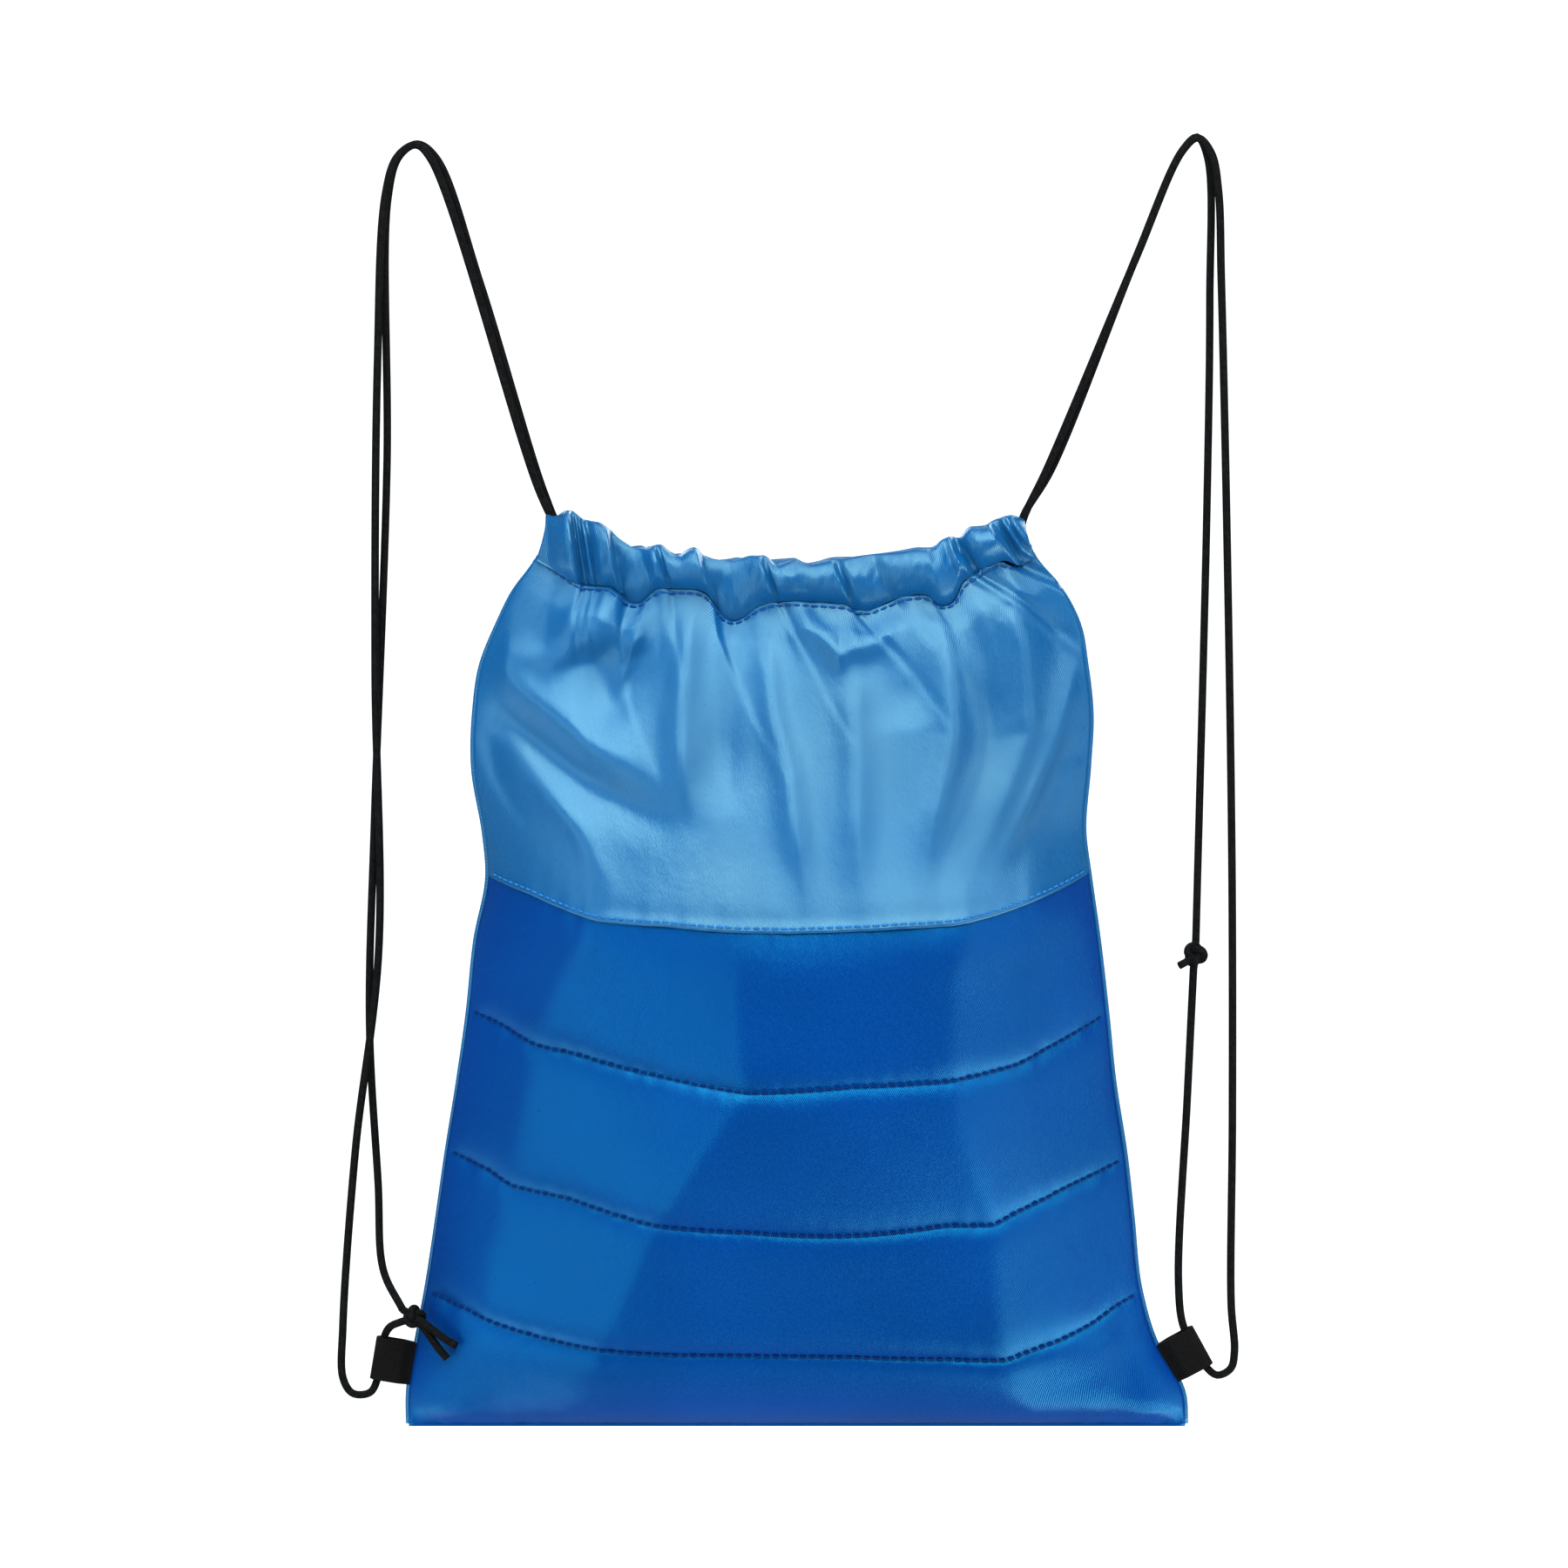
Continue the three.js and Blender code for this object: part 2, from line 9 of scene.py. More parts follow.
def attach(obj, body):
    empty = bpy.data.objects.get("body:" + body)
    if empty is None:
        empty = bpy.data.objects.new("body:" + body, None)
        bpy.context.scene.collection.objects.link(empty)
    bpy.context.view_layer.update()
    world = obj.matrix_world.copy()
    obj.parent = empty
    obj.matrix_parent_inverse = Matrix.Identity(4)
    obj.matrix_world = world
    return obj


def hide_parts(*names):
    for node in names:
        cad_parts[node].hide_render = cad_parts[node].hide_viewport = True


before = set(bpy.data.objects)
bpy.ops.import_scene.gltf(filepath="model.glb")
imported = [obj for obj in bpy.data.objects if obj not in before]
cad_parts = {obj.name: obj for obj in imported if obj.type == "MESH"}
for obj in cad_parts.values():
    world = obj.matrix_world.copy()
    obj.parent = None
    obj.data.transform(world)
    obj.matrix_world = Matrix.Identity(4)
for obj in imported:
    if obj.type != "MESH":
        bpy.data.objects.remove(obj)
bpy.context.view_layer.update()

# A quilted drawstring sack that hangs by its two cord loops. Lengths are in mm
# until a piece is made. x runs right, y back and z up, as in the frame.
mm = 0.001

view = {
    "target": (-11, 0, -293.3),
    "elevation": 8,  # degrees above the horizon
    "distance": 5000,
    "width": 720,  # what the picture takes in, side to side
}


def aimCamera():
    camera = bpy.data.cameras.new("camera")
    camera.sensor_width = 36
    camera.lens = camera.sensor_width * view["distance"] / view["width"]
    eye = bpy.data.objects.new("camera", camera)
    tilt = radians(view["elevation"])
    away = Vector((0, -cos(tilt), sin(tilt))) * view["distance"]
    eye.location = (Vector(view["target"]) + away) * mm
    eye.rotation_euler = (radians(90) - tilt, 0, 0)
    bpy.context.collection.objects.link(eye)
    bpy.context.scene.camera = eye


aimCamera()
print("camera set")


# helpers: colours, nodes, materials, and meshes bent out of bmesh grids


def fromHex(code):
    channels = [int(code[k : k + 2], 16) / 255 for k in (1, 3, 5)]
    linear = [c / 12.92 if c < 0.04045 else ((c + 0.055) / 1.055) ** 2.4 for c in channels]
    return (*linear, 1)


def addNode(tree, kind, links=None, **settings):
    node = tree.nodes.new(kind)
    for name, value in settings.items():
        setattr(node, name, value)
    for key, value in (links or {}).items():
        if isinstance(value, bpy.types.NodeSocket):
            tree.links.new(value, node.inputs[key])
        else:
            node.inputs[key].default_value = value
    return node


def addNoise(tree, vector, scale, detail, **links):
    links = {"Vector": vector, "Scale": scale, "Detail": detail, **links}
    return addNode(tree, "ShaderNodeTexNoise", links)


def addBump(tree, height, strength, distance, invert=False, **links):
    links = {"Height": height, "Strength": strength, "Distance": distance, **links}
    return addNode(tree, "ShaderNodeBump", links, invert=invert)


def addBands(tree, vector, pitch, way, links):
    # waves that lie the pitch apart
    links = {"Vector": vector, "Scale": tau / 20 / pitch, **links}
    return addNode(tree, "ShaderNodeTexWave", links, wave_type="BANDS", bands_direction=way)


def mixColours(tree, share, dark, light):
    links = {0: share, 6: fromHex(dark), 7: fromHex(light)}
    return addNode(tree, "ShaderNodeMix", links, data_type="RGBA").outputs[2]


def startMaterial(name):
    material = bpy.data.materials.new(name)
    material.use_nodes = True
    tree = material.node_tree
    tree.nodes.clear()
    return material, tree


def endMaterial(tree, links):
    surface = addNode(tree, "ShaderNodeBsdfPrincipled", links)
    addNode(tree, "ShaderNodeOutputMaterial", {"Surface": surface.outputs[0]})


def linkMesh(name, shape, material):
    mesh = bpy.data.meshes.new(name)
    shape.to_mesh(mesh)
    shape.free()
    mesh.shade_smooth()
    mesh.materials.append(material)
    piece = bpy.data.objects.new(name, mesh)
    bpy.context.collection.objects.link(piece)
    return piece


def makePiece(name, shape, material, slot, *nodes):
    piece = linkMesh(name, shape, material)
    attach(piece, "root")
    if nodes:
        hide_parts(*nodes)
    return piece


def bentGrid(columns, rows, place, size, wrapped=False, spread=None):
    # a flat grid with its weave in mm, whose points are then moved to their place
    shape = bmesh.new()
    weave = shape.loops.layers.uv.new("weave")
    bmesh.ops.create_grid(shape, x_segments=columns, y_segments=rows, size=0.5)
    shape.verts.index_update()
    flat = np.array([vert.co[:2] for vert in shape.verts]) + 0.5
    if spread:  # crowds the rows where the shape needs more of them
        flat[:, 1] = spread(flat[:, 1])
    for vert, point in zip(shape.verts, place(flat[:, 0], flat[:, 1]) * mm):
        vert.co = point
    laid = (flat * size).tolist()
    for face in shape.faces:
        for loop in face.loops:
            loop[weave].uv = laid[loop.vert.index]
    if wrapped:
        bmesh.ops.remove_doubles(shape, verts=shape.verts, dist=1e-6)
    return shape


def giveWall(piece, thickness, offset=-1, group=None):
    wall = piece.modifiers.new("wall", "SOLIDIFY")
    wall.thickness = thickness * mm
    wall.offset = offset
    if group:
        wall.vertex_group = group


def waver(x, y, size, seed):
    # slow uneven waves between -1 and 1, the same on each run
    total = 0
    for k in range(4):
        turn = seed + 2.4 * k
        along = x * cos(turn) + y * sin(turn)
        total = total + np.sin(along * tau / (size * (0.7 + 0.25 * k)) + 1.7 * k + seed)
    return total / 4


# centripetal line through points, as the cords' solids follow it, in even steps
def smoothLine(points, step):
    points = np.array(points, dtype=float)
    ends = [2 * points[0] - points[1]], [2 * points[-1] - points[-2]]
    points = np.concatenate([ends[0], points, ends[1]])
    share = np.linspace(0, 1, 24, endpoint=False)[:, None]
    runs = []
    for a, b, c, d in zip(points, points[1:], points[2:], points[3:]):
        before, here, after = (np.linalg.norm(q - p) ** 0.5 for p, q in ((a, b), (b, c), (c, d)))
        into = here * ((b - a) / before - (c - a) / (before + here) + (c - b) / here)
        out = here * ((c - b) / here - (d - b) / (here + after) + (d - c) / after)
        square, cube = share**2, share**3
        runs.append(
            b * (2 * cube - 3 * square + 1)
            + into * (cube - 2 * square + share)
            + c * (3 * square - 2 * cube)
            + out * (cube - square)
        )
    return evenLine(np.concatenate([*runs, points[-2:-1]]), step)


def evenLine(line, step):
    run = np.concatenate([[0], np.cumsum(np.linalg.norm(np.diff(line, axis=0), axis=1))])
    marks = np.linspace(0, run[-1], max(2, round(run[-1] / step)) + 1)
    return np.column_stack([np.interp(marks, run, line[:, k]) for k in range(3)])


def lineLength(line):
    return float(np.linalg.norm(np.diff(line, axis=0), axis=1).sum())


def sweptTube(line, radii, sides):
    # a round or oval tube along a line; its first radius points sideways, its second up the frame
    along = np.gradient(line, axis=0)
    along /= np.linalg.norm(along, axis=1)[:, None]
    across = np.cross(along[0], (0.13, 1, 0.21))
    frames = []
    for way in along:
        across = across - way * across.dot(way)
        across /= np.linalg.norm(across)
        frames.append((across, np.cross(way, across)))
    frames = np.array(frames)
    radii = np.broadcast_to(np.array(radii, dtype=float), (2,))

    def place(u, v):
        ring = np.rint(v * (len(line) - 1)).astype(int)
        side = frames[ring, 0] * (np.cos(tau * u) * radii[0])[:, None]
        rise = frames[ring, 1] * (np.sin(tau * u) * radii[1])[:, None]
        return line[ring] + side + rise

    size = (tau * radii.mean(), lineLength(line))
    shape = bentGrid(sides, len(line) - 1, place, size, wrapped=True)
    ends = [edge for edge in shape.edges if edge.is_boundary]
    bmesh.ops.holes_fill(shape, edges=ends, sides=0)
    bmesh.ops.recalc_face_normals(shape, faces=shape.faces)
    return shape


# materials


def clothMaterial(name, look):
    # Woven polyester with a water-shedding finish: a fine slanting twill that shows as
    # grain up close, with a soft broad shine that spreads along the folds.
    material, tree = startMaterial(name)
    place = addNode(tree, "ShaderNodeTexCoord")
    weave = addNode(tree, "ShaderNodeUVMap", uv_map="weave")
    # the real twill has about 0.5 mm between lines, drawn at 0.9 mm so that it shows
    turned = addNode(
        tree,
        "ShaderNodeMapping",
        {"Vector": weave.outputs[0], "Rotation": (0, 0, radians(look["twillAngle"]))},
    )
    uneven = {"Distortion": 0.6, "Detail": 1, "Detail Scale": 0.3}
    twill = addBands(tree, turned.outputs[0], look["twillPitch"], "X", uneven)
    slub = addNoise(tree, turned.outputs[0], 0.55, 3)
    dye = addNoise(tree, place.outputs["Object"], 14, 4)
    grain = addNode(
        tree,
        "ShaderNodeMath",
        {0: twill.outputs["Fac"], 1: slub.outputs["Fac"]},
        operation="ADD",
    )
    thread = mixColours(tree, grain.outputs[0], look["shade"], look["colour"])
    tone = addNode(
        tree,
        "ShaderNodeMapRange",
        {"Value": dye.outputs["Fac"], "From Min": 0.3, "From Max": 0.7, "To Min": 0.92,
         "To Max": 1.08},
    )
    dyed = addNode(
        tree,
        "ShaderNodeHueSaturation",
        {"Color": thread, "Value": tone.outputs[0]},
    )
    gloss = addNode(
        tree,
        "ShaderNodeMapRange",
        {"Value": slub.outputs["Fac"], "From Min": 0.25, "From Max": 0.75,
         "To Min": look["roughness"] - 0.05, "To Max": look["roughness"] + 0.05},
    )
    # handling marks 5 to 20 mm wide, too shallow to model
    marks = addNoise(tree, weave.outputs[0], 0.07, 3, Roughness=0.6)
    soft = addBump(tree, marks.outputs["Fac"], look["crumple"], 0.002)
    bump = addBump(tree, grain.outputs[0], look["grain"], 0.00008, Normal=soft.outputs[0])
    endMaterial(
        tree,
        {
            "Base Color": dyed.outputs[0],
            "Roughness": gloss.outputs[0],
            "Normal": bump.outputs[0],
            "IOR": look["ior"],
            "Specular IOR Level": look["specular"],
            "Specular Tint": fromHex(look["shine"]),
            "Sheen Weight": look["sheen"],
            "Sheen Roughness": 0.45,
            "Sheen Tint": fromHex(look["shine"]),
        },
    )
    return material


# One dyed cloth in two copies. The plain copy's lighter base colour is painted light, from the top
# light on the upper front.
plainLitLook = {
    "colour": "#065a90",
    "shade": "#044b7f",
    "shine": "#c4fcf0",
    "roughness": 0.32,
    "specular": 0.9,
    "ior": 1.6,
    "sheen": 0.05,
    "grain": 0.9,
    "crumple": 0.16,
    "twillAngle": 35,
    "twillPitch": 0.9,
}
# The quilted copy's darker base colour is painted shade, for the upright lower front.
quiltedShadedLook = dict(
    plainLitLook, colour="#023c84", shade="#023071", shine="#38dcf8", sheen=0, crumple=0.14
)
plainLitCloth = clothMaterial("polyester_twill_plain_painted_light", plainLitLook)
quiltedShadedCloth = clothMaterial("polyester_twill_quilted_painted_shade", quiltedShadedLook)


def threadMaterial(name, dark, light):
    # Spun polyester sewing thread in the cloth's colour, duller and with a fine twist.
    material, tree = startMaterial(name)
    place = addNode(tree, "ShaderNodeTexCoord")
    twist = addNoise(tree, place.outputs["Object"], 900, 2)
    colour = mixColours(tree, twist.outputs["Fac"], dark, light)
    endMaterial(
        tree,
        {"Base Color": colour, "Roughness": 0.7, "Specular IOR Level": 0.15},
    )
    return material


def webbingMaterial():
    # Black polypropylene webbing, woven with ribs across it: dull, with painted light on the rib
    # tops and painted shade between the ribs.
    material, tree = startMaterial("polypropylene_webbing")
    weave = addNode(tree, "ShaderNodeUVMap", uv_map="weave")
    ribs = addBands(tree, weave.outputs[0], 1.2, "X", {"Distortion": 0.3})
    threads = addBands(tree, weave.outputs[0], 0.8, "Y", {"Distortion": 1})
    height = addNode(
        tree,
        "ShaderNodeMath",
        {0: ribs.outputs["Fac"], 1: threads.outputs["Fac"]},
        operation="MULTIPLY",
    )
    # the colour follows the ribs' height: painted light on their tops, painted shade between them
    colour = mixColours(tree, height.outputs[0], "#070708", "#161718")
    bump = addBump(tree, height.outputs[0], 0.8, 0.0003)
    endMaterial(
        tree,
        {"Base Color": colour, "Roughness": 0.75, "Normal": bump.outputs[0],
         "Specular IOR Level": 0.2},
    )
    return material


def braidMaterial():
    # Round braided polyester cord: slanting strands about 1.3 mm wide that pass over each other,
    # near black, with a faint shine on each strand, and painted shade in the dark gaps between them.
    material, tree = startMaterial("polyester_braided_cord")
    weave = addNode(tree, "ShaderNodeUVMap", uv_map="weave")
    turned = addNode(
        tree,
        "ShaderNodeMapping",
        {"Vector": weave.outputs[0], "Rotation": (0, 0, radians(45))},
    )
    # the mortar colour is painted shade in the gaps between the strands
    strands = addNode(
        tree,
        "ShaderNodeTexBrick",
        {"Vector": turned.outputs[0], "Color1": fromHex("#1b1d1e"), "Color2": fromHex("#111314"),
         "Mortar": fromHex("#030404"), "Scale": 1, "Mortar Size": 0.12, "Mortar Smooth": 1,
         "Brick Width": 2.2, "Row Height": 1.1},
        offset=0.5,
    )
    bump = addBump(tree, strands.outputs["Fac"], 0.7, 0.0003, invert=True)
    endMaterial(
        tree,
        {"Base Color": strands.outputs["Color"], "Roughness": 0.75, "Normal": bump.outputs[0],
         "Specular IOR Level": 0.08},
    )
    return material


# one thread in three tones: the darker copy has painted shade for the grooves of the quilted lines,
# and the lighter copy has painted light for the yoke seam under the top light
shadedThread = threadMaterial("polyester_thread_painted_shade", "#011d4c", "#03336f")
hemThread = threadMaterial("polyester_thread_mid", "#0a4080", "#1762a6")
litThread = threadMaterial("polyester_thread_painted_light", "#1560a0", "#2f86c4")
webbing = webbingMaterial()
braid = braidMaterial()
print("materials made")

# cords: their middle lines from the knot, through the tab, over the hanging point, round
# through both casings and back to the knot, as the solids have them
cord = {"diameter": 3.6, "step": 1.5, "sides": 12}
leftRoute = [
    (-187.5, -9.5, -542.5), (-193, -4, -546), (-195.7, -0.4, -551), (-197.2, 0, -559),
    (-199.2, 0, -571.5), (-202.6, -0.3, -577.6), (-210.4, -0.8, -578), (-214.9, -1.3, -571),
    (-214.9, -2, -546), (-208.6, -2.1, -463), (-197.4, -2.1, -370), (-198.4, -2.1, -240),
    (-196.6, -2.1, -100), (-192.6, -2.1, -22), (-187, -2.1, -4.5), (-178.6, -2.1, 0.8),
    (-171.6, -2.1, -6), (-122, -2.2, -160), (-113.5, -3.6, -175), (-101, -7.2, -184.3),
    (-5, -14.4, -196.8), (78, -8.4, -185.4), (85.5, -5, -184.8), (85.5, 5, -184.8),
    (78, 8.4, -185.4), (-5, 14.4, -196.8), (-101, 7.2, -184.3), (-113.5, 3.6, -175),
    (-120.4, 2.2, -160), (-149.6, 2.1, -63), (-169.2, 2.1, -6), (-178, 2.1, 0.8),
    (-186.2, 2.1, -4.5), (-191.6, 2.1, -24), (-192.6, 2.1, -145), (-199.2, 2.1, -310),
    (-202, 2.1, -405), (-198.4, 2.1, -480), (-196.2, 0.5, -520), (-187, -9, -537),
]
rightRoute = [
    (177.5, 0, -378.9), (174.9, 0, -440), (171.3, 0, -525), (173.6, 0, -546.2),
    (178.9, 0, -556), (184, -0.1, -565.2), (189.4, -0.5, -569.4), (195.6, -1.1, -566.2),
    (197.3, -1.6, -558), (195.6, -2.1, -535), (195.7, -2.1, -450), (194.8, -2.1, -330),
    (191.6, -2.1, -175), (188.4, -2.1, -60), (186.9, -2.1, -20), (183.6, -2.1, -3),
    (177.4, -2.1, 4), (170.4, -2.1, -2), (149.4, -2.1, -51), (109, -2.2, -148),
    (99, -2.6, -169), (94.5, -4.2, -183), (83, -7.4, -190.3), (-5, -14.4, -203.2),
    (-95, -8.4, -191.6), (-103, -5, -191), (-103, 5, -191), (-95, 8.4, -191.6),
    (-5, 14.4, -203.2), (83, 7.4, -190.3), (94.5, 4.2, -183), (99, 2.6, -169),
    (111.4, 2.2, -148), (149.6, 2.1, -51), (170.6, 2.1, -2), (177.4, 2.1, 4),
    (182.2, 2.1, -6), (183.4, 2.1, -70), (182.6, 2.1, -165), (178.5, 0, -366.1),
]
knots = {
    "left": {
        "centre": (-181.5, -10.5, -540),
        "turn": (90, 20, 30),  # degrees about x, y and z
        "scale": 1.3,
        "tails": [
            [(-181.5, -11, -540), (-176, -15, -543), (-168, -20, -548), (-161.8, -22, -551.5)],
            [(-181, -11, -541), (-176, -14, -546), (-170.5, -18, -553), (-166.2, -19.8, -557.8)],
            [(-187.6, -9.4, -542.6), (-184.4, -10.2, -541.4), (-181.5, -10.5, -540)],
            [(-187.1, -8.9, -536.9), (-184.4, -9.8, -538.4), (-181.5, -10.5, -540)],
        ],
    },
    "right": {
        "centre": (178.2, 0, -372.5),
        "turn": (80, 0, -15),
        "scale": 1.4,
        "tails": [
            [(178.2, 0, -373), (175, -2.5, -375), (170.8, -4.5, -377)],
            [(178.5, 0, -365.9), (178.3, 0, -369), (178.2, 0, -372.5)],
            [(177.5, 0, -379.1), (177.9, 0, -376), (178.2, 0, -372.5)],
        ],
    },
}


def tieKnot(name, knot):
    # an overhand knot drawn tight: one line that laps itself three times
    lapRise = 1.15  # how far it rises and falls where it does, before it is scaled
    t = np.linspace(0, tau, 120)
    ring = 2 + np.cos(3 * t)
    lap = np.column_stack([ring * np.cos(2 * t), ring * np.sin(2 * t), lapRise * np.sin(3 * t)])
    turn = Matrix.Rotation(radians(knot["turn"][2]), 3, "Z")
    turn = turn @ Matrix.Rotation(radians(knot["turn"][1]), 3, "Y")
    turn = turn @ Matrix.Rotation(radians(knot["turn"][0]), 3, "X")
    lap = lap * knot["scale"] @ np.array(turn).T + np.array(knot["centre"])
    shape = sweptTube(lap, cord["diameter"] / 2, cord["sides"])
    for tail in knot["tails"]:
        end = sweptTube(smoothLine(tail, cord["step"]), cord["diameter"] / 2, cord["sides"])
        spare = bpy.data.meshes.new("tail")
        end.to_mesh(spare)
        end.free()
        shape.from_mesh(spare)
        bpy.data.meshes.remove(spare)
    return makePiece(f"{name}_braid", shape, braid, "cord", name)


def layCord(name, route, knot):
    line = smoothLine(route, cord["step"])
    shape = sweptTube(line, cord["diameter"] / 2, cord["sides"])
    piece = makePiece(f"{name}_braid", shape, braid, "cord", name)
    print(name, "is", round(lineLength(line)), "mm long")


for side, route in (("left", leftRoute), ("right", rightRoute)):
    layCord(f"drawcord_{side}", route, tieKnot(f"knot_{side}", knots[side]))

# the sack's form: sections from the bottom seam to the mouth, as the solids have them
sack = {
    "height": 420,
    "width": 360,
    "axisX": -5,
    "mouthDrop": 172,  # from the hanging points down to the ends of the mouth
    "front": 73,  # how far the front swells out
    "back": 46,
    "dip": 26,  # how far the middle of a row hangs below its ends
    "gap": 0.3,  # between the front and the back at the seams
    "wall": 1.2,
    "shelf": 4,  # how far the top of the quilted front stands proud
    "shelfReach": 22,
}
quiltTop = 0.613 * sack["height"]  # seam between the quilted and the plain front
bottomZ = -sack["mouthDrop"] - sack["height"]
# height, left, right, front, back, dip, round, droop
sections = np.array([
    (0, 0.998, 0.998, 0, 0, 0, 5, 4),
    (0.033, 0.998, 0.993, 0.26, 0.3, 0.25, 4.5, 4),
    (0.09, 0.976, 0.92, 0.55, 0.6, 0.6, 3.6, 3.4),
    (0.146, 0.951, 0.881, 0.72, 0.76, 0.81, 3, 3),
    (0.231, 0.92, 0.858, 0.87, 0.92, 0.96, 2.3, 2.3),
    (0.299, 0.897, 0.84, 0.96, 1, 1, 2, 1.9),
    (0.381, 0.866, 0.81, 1, 1, 0.96, 2.1, 2),
    (0.458, 0.84, 0.791, 0.99, 0.97, 0.92, 2.2, 2.1),
    (0.538, 0.82, 0.769, 0.94, 0.94, 0.8, 2.5, 2.5),
    (0.613, 0.788, 0.744, 0.85, 0.9, 0.68, 3, 3),
    (0.655, 0.796, 0.731, 0.8, 0.86, 0.69, 2.9, 2.9),
    (0.731, 0.824, 0.742, 0.68, 0.75, 0.72, 2.8, 2.8),
    (0.788, 0.821, 0.748, 0.57, 0.65, 0.73, 2.8, 2.6),
    (0.846, 0.8, 0.733, 0.45, 0.54, 0.74, 3, 2.4),
    (0.886, 0.762, 0.716, 0.36, 0.46, 0.74, 3.4, 2.3),
    (0.924, 0.718, 0.671, 0.27, 0.37, 0.73, 3.8, 2.2),
    (0.957, 0.662, 0.604, 0.192, 0.304, 0.73, 4, 2.2),
    (1, 0.64, 0.591, 0.192, 0.304, 0.73, 4, 2.2),
])
sectionSlopes = np.gradient(sections, sections[:, 0], axis=0)


def sectionAt(share):
    marks = sections[:, 0]
    k = np.clip(np.searchsorted(marks, share) - 1, 0, len(marks) - 2)
    span = marks[k + 1] - marks[k]
    t = np.clip((share - marks[k]) / span, 0, 1)
    square, cube = t**2, t**3
    return [
        column[k] * (2 * cube - 3 * square + 1)
        + slope[k] * span * (cube - 2 * square + t)
        + column[k + 1] * (3 * square - 2 * cube)
        + slope[k + 1] * span * (cube - square)
        for column, slope in zip(sections.T[1:], sectionSlopes.T[1:])
    ]


def shelfAt(height):
    # the stiff quilted front stands a little proud where the plain cloth starts
    return sack["shelf"] * np.exp(-(((height - quiltTop) / sack["shelfReach"]) ** 2))


def sackPoint(side, across, height, lift, rise=0):
    left, right, front, back, dip, rounding, droop = sectionAt(height / sack["height"])
    out = np.abs(across)
    x = sack["axisX"] + (right * (1 + across) - left * (1 - across)) / 2 * sack["width"] / 2
    z = bottomZ + height - dip * sack["dip"] * (1 - out**droop) + rise
    swell = front if side == "front" else back
    y = sack["gap"] / 2 + sack["wall"] + swell * sack[side] * (1 - out**rounding) + lift
    return np.column_stack([x, y if side == "back" else -y, z])


fold = {
    "crest": 2,  # radius that rounds a fold's crest
    "fade": 0.4,  # share of its length over which a fold dies away at its last end
}


def foldLift(folds, across, up, span):
    # each fold: its path, the lift at its first and last end, its spread and its sharpness
    x, z = across * span[0] / 2, up * span[1]
    total = np.zeros_like(x)
    for path, first, last, spread, sharp in folds:
        corners = np.array(path) * (span[0] / 2, span[1])
        far, place = np.full_like(x, 1e9), np.zeros_like(x)
        for k, (a, b) in enumerate(zip(corners, corners[1:])):
            way = b - a
            t = np.clip(((x - a[0]) * way[0] + (z - a[1]) * way[1]) / way.dot(way), 0, 1)
            away = np.hypot(x - a[0] - t * way[0], z - a[1] - t * way[1])
            nearer = away < far
            far = np.where(nearer, away, far)
            place = np.where(nearer, (k + t) / (len(corners) - 1), place)
        far = np.sqrt(far**2 + fold["crest"] ** 2) - fold["crest"]
        fade = np.clip(np.minimum(2 * place, 1 - place) / fold["fade"], 0, 1)
        fade = fade**2 * (3 - 2 * fade)
        total += (first + (last - first) * place) * fade * np.exp(-((far / spread) ** sharp))
    return total


def wrinkles(kind, x, height, away):
    # short waves beside a seam, which die away from it
    wave = waver(x, height * kind["lean"], kind["size"], kind["seed"])
    return kind["lift"] * wave * np.exp(-away / kind["reach"])


# the gathered mouth: how far its pleats stand out along the front and the back casing, and
# how its stitched line and its rim rise and fall, from the left end at -1 to the right at 1
hem = {
    "height": 18,
    "reach": 0.96,
    "depth": 3.3,  # from the middle of the casing to its outer side
    "inside": 8,  # and to its side in the mouth
    "between": 1.2,  # least from that side to the middle of the mouth
    "wall": 1,
    "columns": 440,
    "rows": 44,
    "span": 280,
    "gathered": 0.9,  # its length as a share of the sack's width
    "slant": 0.07,  # how far a pleat shifts to the right on its way down, as a share
    "fan": 0.03,  # how much more it shifts at the right end, and less at the left
    "cover": 1,  # added to the front rim, so that it hides the cords
    "flare": 5,  # how far its foot spreads at both ends, to the panels' corners
    "flareFrom": 0.8,  # where that starts, as a share across
    "flareOver": 0.16,
    "ruffle": 30,  # how far the pleats fade down into the panels
    "lobeLift": 0.55,  # share of a lobe by which the cloth shifts where it is sewn
    "valleyLift": 0.9,
    "lobeRelief": 1.3,  # share of a lobe that is added to the casing's depth
    "valleyRelief": 0.3,
    "pinch": 0.9,  # share of the depth that the stitched line takes away
    "pinchReach": 3.5,
    "dent": 0.35,
    "dentSize": 9,
    "blur": 0.006,  # how far the pleats' corners are smoothed, as a share across
    "riseBlur": 0.012,  # and those of the stitched line and the rim
    "backRise": {"mean": -2, "wave": 1.5, "size": 0.4},
    "backRim": {"mean": -1.5, "wave": 0.8, "size": 0.22, "pleat": 0.35},
}
stitchHeight = sack["height"] - hem["height"]
